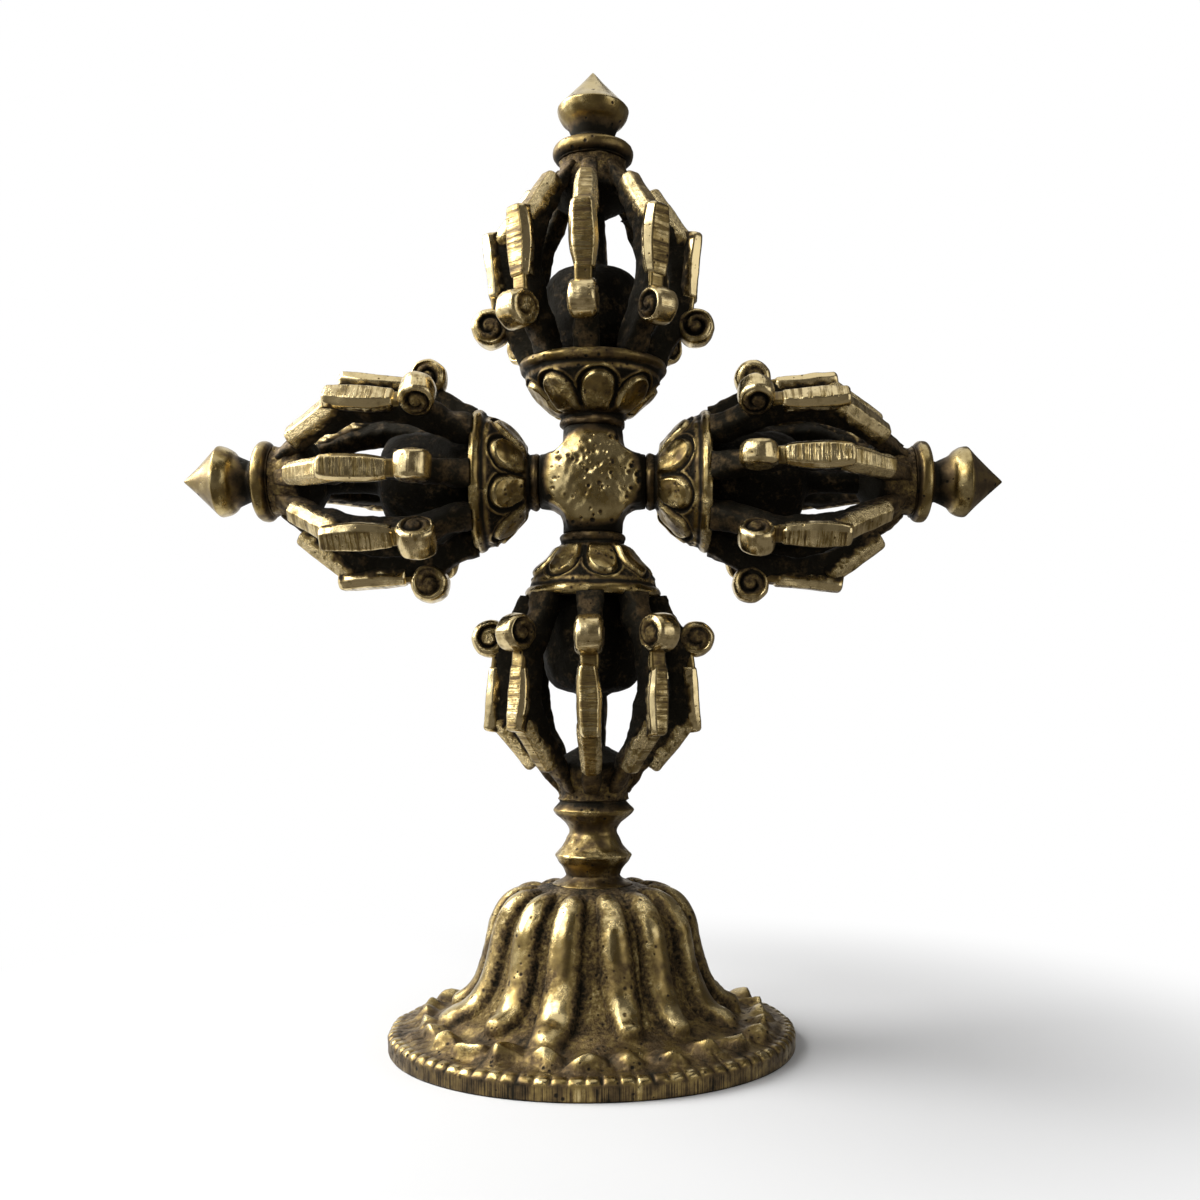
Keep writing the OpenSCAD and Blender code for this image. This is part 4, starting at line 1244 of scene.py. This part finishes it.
class VAJRA_OT_cores(bpy.types.Operator):
    """Build the four dark buds with their spindles"""

    bl_idname = "vajra.cores"
    bl_label = "Cores"

    def execute(self, context):
        hand = context.scene.vajra_shape.hand_work
        for number, arm in enumerate(ARMS):
            surface = core_surface(hand, CORE_SEED + ARM_STEP * number)
            build(arm + "_core", "dark_brass", surface, on_arm(arm))
        return {"FINISHED"}


class VAJRA_OT_prongs(bpy.types.Operator):
    """Build the eight scrolled prongs of each arm"""

    bl_idname = "vajra.prongs"
    bl_label = "Prongs"

    def execute(self, context):
        shape = context.scene.vajra_shape
        for number, arm in enumerate(ARMS):
            for k in range(PRONGS_PER_ARM):
                shells = prong_shells(shape, arm, PRONG_SEED + PRONG_ARM_STEP * number + PRONG_STEP * k)
                turn = k * TAU / PRONGS_PER_ARM + np.radians(SET_OFF[arm].get(k + 1, 0))
                shells.piece("%s_prong_%d" % (arm, k + 1), "filed_brass", on_arm(arm, turn))
        return {"FINISHED"}


class VAJRA_OT_crowns(bpy.types.Operator):
    """Build the four crowns that gather the prong tips"""

    bl_idname = "vajra.crowns"
    bl_label = "Crowns"

    def execute(self, context):
        hand = context.scene.vajra_shape.hand_work
        for number, arm in enumerate(ARMS):
            surface = crown_surface(hand, CROWN_SEED + ARM_STEP * number)
            build(arm + "_crown", "brown_brass", surface, on_arm(arm))
        return {"FINISHED"}


class VAJRA_OT_finials(bpy.types.Operator):
    """Build the three pointed finials"""

    bl_idname = "vajra.finials"
    bl_label = "Finials"

    def execute(self, context):
        hand = context.scene.vajra_shape.hand_work
        # dull is each finial's darkening, partly patina and partly painted shade.
        for number, (arm, dull) in enumerate(FINIAL_PATINA_AND_SHADE.items()):
            surface = finial_surface(dull, hand, FINIAL_SEED + ARM_STEP * number)
            build(arm + "_finial", "worn_brass", surface, on_arm(arm))
        return {"FINISHED"}


class VAJRA_OT_stem(bpy.types.Operator):
    """Build the waisted stem"""

    bl_idname = "vajra.stem"
    bl_label = "Stem"

    def execute(self, context):
        hand = context.scene.vajra_shape.hand_work
        build("stem", "brown_brass", stem_surface(hand, STEM_SEED), on_arm("bottom"))
        return {"FINISHED"}


class VAJRA_OT_pedestal(bpy.types.Operator):
    """Build the lotus pedestal"""

    bl_idname = "vajra.pedestal"
    bl_label = "Pedestal"

    def execute(self, context):
        shape = context.scene.vajra_shape
        surface = pedestal_surface(shape.lobe_height / MM, shape.hand_work, PEDESTAL_SEED)
        build("pedestal", "worn_brass", surface, lambda points: points)
        return {"FINISHED"}


# Stage, in metres. The camera takes the photograph's frame, its horizon and the place of the hub in it.
PHOTO_SIZE = 1200
HORIZON_PX = (640, 705)
HUB_PX = (593, 482)
MM_PER_PX = 0.1242
SENSOR_MM = 36.0
FLOOR_HALF = 3.0
FLOOR_GREY = 0.8
# Distances from the middle between which the floor's shadow fades out into even white.
SHADOW_FADE = (0.05, 0.105)
WORLD_LIGHT = 0.15
# Dim glowing cards that only mirrors see, painted reflections of a dark room and a shaded table:
# brightness, stretch round the object in degrees, and rows as (away, up).
WALL_LEVEL = 0.12
WALL_STRETCH = (-112, 78)
WALL_ROWS = ((0.6, 0.0), (0.6, 0.5), (0.42, 0.75))
TABLE_LEVEL = 0.2
TABLE_STRETCH = (-170, 90)
TABLE_ROWS = ((0.032, 0.0005), (0.6, 0.0005))
CARD_TINT = (1.0, 0.93, 0.85)
# Side and place of each square lamp, and the point that the lamps face.
LAMPS = {
    "key": (0.34, (-0.36, 0.02, 0.31)),
    "front": (0.20, (-0.24, -0.28, 0.32)),
    "fill": (0.3, (0.35, -0.20, 0.15)),
}
LAMP_AIM = (0, 0, 0.06)


def seen_or_mirrored(wires):
    """1 for rays from the camera and for mirrored or refracted rays, 0 for the rest."""
    path = wires.node("ShaderNodeLightPath").outputs
    total = wires.math("ADD", path["Is Camera Ray"], path["Is Glossy Ray"])
    return wires.math("ADD", total, path["Is Transmission Ray"], clamp=True)


def floor_material():
    """White floor that takes the shadow near the object and is even white further off and in mirrors."""
    material, wires, surface = blank_material("white_floor")
    plain = wires.node("ShaderNodeBsdfDiffuse", {"Color": (FLOOR_GREY, FLOOR_GREY, FLOOR_GREY, 1)})
    even = wires.node("ShaderNodeEmission", {"Strength": 1.0})
    place = wires.node("ShaderNodeTexCoord").outputs["Object"]
    distance = wires.node("ShaderNodeVectorMath", {0: place}, operation="LENGTH").outputs["Value"]
    share = wires.ramp(distance, *SHADOW_FADE, 0.03, 1.0)
    seen = wires.math("MULTIPLY", seen_or_mirrored(wires), share)
    mix = wires.node("ShaderNodeMixShader", {0: seen, 1: plain.outputs[0], 2: even.outputs[0]})
    wires.feed(surface, mix.outputs[0])
    return material


def lay_floor():
    """Flat square floor round the object."""
    corners = np.array([(-1, -1, 0), (1, -1, 0), (1, 1, 0), (-1, 1, 0)]) * FLOOR_HALF
    mesh = bpy.data.meshes.new("floor_plane")
    mesh.from_pydata(corners.tolist(), [], [(0, 1, 2, 3)])
    mesh.materials.append(floor_material())
    floor = added("floor", mesh)


def dark_card(name, level, stretch, card_rows):
    """Dim glowing curved sheet that only mirrors see: a painted reflection of a dark studio card, so that
    the metal has something dark to show.

    Each of its rows, (away, up), is an arc round the object over the stretch of degrees.
    """
    angle = np.radians(np.linspace(*stretch, 40))
    arc = np.stack([np.cos(angle), np.sin(angle), 0 * angle], -1)
    grid = np.stack([away * arc + np.array([0, 0, up]) for away, up in card_rows])
    rows, columns = grid.shape[:2]
    corner = np.arange(rows * columns).reshape(rows, columns)
    low, high = corner[:-1], corner[1:]
    faces = np.stack([low[:, :-1], low[:, 1:], high[:, 1:], high[:, :-1]], -1).reshape(-1, 4)
    mesh = bpy.data.meshes.new(name + "_sheet")
    mesh.from_pydata(grid.reshape(-1, 3).tolist(), [], faces.tolist())
    material, wires, surface = blank_material(name + "_paper")
    # Painted reflection: a dim glow that only mirrors see.
    mirror_glow = wires.node("ShaderNodeEmission", {"Color": (*(level * np.array(CARD_TINT)), 1)})
    wires.feed(surface, mirror_glow.outputs[0])
    mesh.materials.append(material)
    card = added(name, mesh)
    card.visible_camera = card.visible_shadow = card.visible_diffuse = False


def set_world(scene):
    """White world, of which only a little falls on the object as light."""
    world = bpy.data.worlds.new("studio")
    scene.world = world
    world.use_nodes = True
    wires = Wires(world.node_tree)
    back = world.node_tree.nodes["Background"]
    level = wires.math("MULTIPLY_ADD", seen_or_mirrored(wires), 1 - WORLD_LIGHT, WORLD_LIGHT)
    wires.feed(back.inputs["Strength"], level)
    wires.feed(back.inputs["Color"], (1, 1, 1, 1))


def set_lamp(name, power, side, place):
    """Square area lamp that faces the middle of the object."""
    data = bpy.data.lights.new(name, "AREA")
    data.shape = "RECTANGLE"
    data.size = data.size_y = side
    data.energy = power
    lit = added(name, data)
    lit.location = place
    lit.rotation_euler = (Vector(LAMP_AIM) - Vector(place)).to_track_quat("-Z", "Y").to_euler()


def set_camera(scene, focal_length):
    """Level camera, shifted so that the horizon and the hub stand where the photograph has them."""
    data = bpy.data.cameras.new("photo_camera")
    data.sensor_width = SENSOR_MM
    data.lens = focal_length
    data.clip_start = 0.005
    data.shift_x = 0.5 - HORIZON_PX[0] / PHOTO_SIZE
    data.shift_y = HORIZON_PX[1] / PHOTO_SIZE - 0.5
    camera = added("photo_camera", data)
    away = focal_length / SENSOR_MM * PHOTO_SIZE * MM_PER_PX
    side = (HORIZON_PX[0] - HUB_PX[0]) * MM_PER_PX
    height = HUB_Z - (HORIZON_PX[1] - HUB_PX[1]) * MM_PER_PX
    camera.location = (side * MM, -away * MM, height * MM)
    camera.rotation_euler = (np.pi / 2, 0, 0)
    scene.camera = camera


class VAJRA_OT_stage(bpy.types.Operator):
    """Set up the floor, the studio light and the camera"""

    bl_idname = "vajra.stage"
    bl_label = "Stage"

    def execute(self, context):
        scene = context.scene
        stage = scene.vajra_stage
        lay_floor()
        dark_card("wall_card", WALL_LEVEL, WALL_STRETCH, WALL_ROWS)
        dark_card("table_card", TABLE_LEVEL, TABLE_STRETCH, TABLE_ROWS)
        set_world(scene)
        for name, (side, place) in LAMPS.items():
            set_lamp(name + "_lamp", getattr(stage, name + "_power"), side, place)
        set_camera(scene, stage.focal_length)
        scene.view_settings.view_transform = "Standard"
        return {"FINISHED"}


class VAJRA_PT_panel(bpy.types.Panel):
    """Sizes, colours and build steps of the vajra"""

    bl_idname = "VAJRA_PT_panel"
    bl_label = "Crossed vajra"
    bl_space_type = "VIEW_3D"
    bl_region_type = "UI"
    bl_category = "Vajra"

    def draw(self, context):
        layout = self.layout
        for group in (getattr(context.scene, name) for name in GROUPS):
            for name in group.__annotations__:
                layout.prop(group, name)
        for operator in OPERATORS:
            layout.operator(operator.bl_idname)


GROUPS = {"vajra_shape": VajraShape, "vajra_finish": VajraFinish, "vajra_stage": VajraStage}
OPERATORS = (
    VAJRA_OT_hub, VAJRA_OT_cups, VAJRA_OT_cores, VAJRA_OT_prongs, VAJRA_OT_crowns, VAJRA_OT_finials,
    VAJRA_OT_stem, VAJRA_OT_pedestal, VAJRA_OT_stage,
)


def register():
    """Registers the classes and puts the property groups on the scene."""
    for name, group in GROUPS.items():
        bpy.utils.register_class(group)
        setattr(bpy.types.Scene, name, bpy.props.PointerProperty(type=group))
    for operator in OPERATORS:
        bpy.utils.register_class(operator)
    bpy.utils.register_class(VAJRA_PT_panel)


def unregister():
    """Takes everything back that register made."""
    bpy.utils.unregister_class(VAJRA_PT_panel)
    for operator in reversed(OPERATORS):
        bpy.utils.unregister_class(operator)
    for name, group in GROUPS.items():
        delattr(bpy.types.Scene, name)
        bpy.utils.unregister_class(group)


def main():
    """Builds every piece in order."""
    register()
    bpy.ops.vajra.hub()
    bpy.ops.vajra.cups()
    bpy.ops.vajra.cores()
    bpy.ops.vajra.prongs()
    bpy.ops.vajra.crowns()
    bpy.ops.vajra.finials()
    bpy.ops.vajra.stem()
    bpy.ops.vajra.pedestal()
    bpy.ops.vajra.stage()


if __name__ == "__main__":
    main()
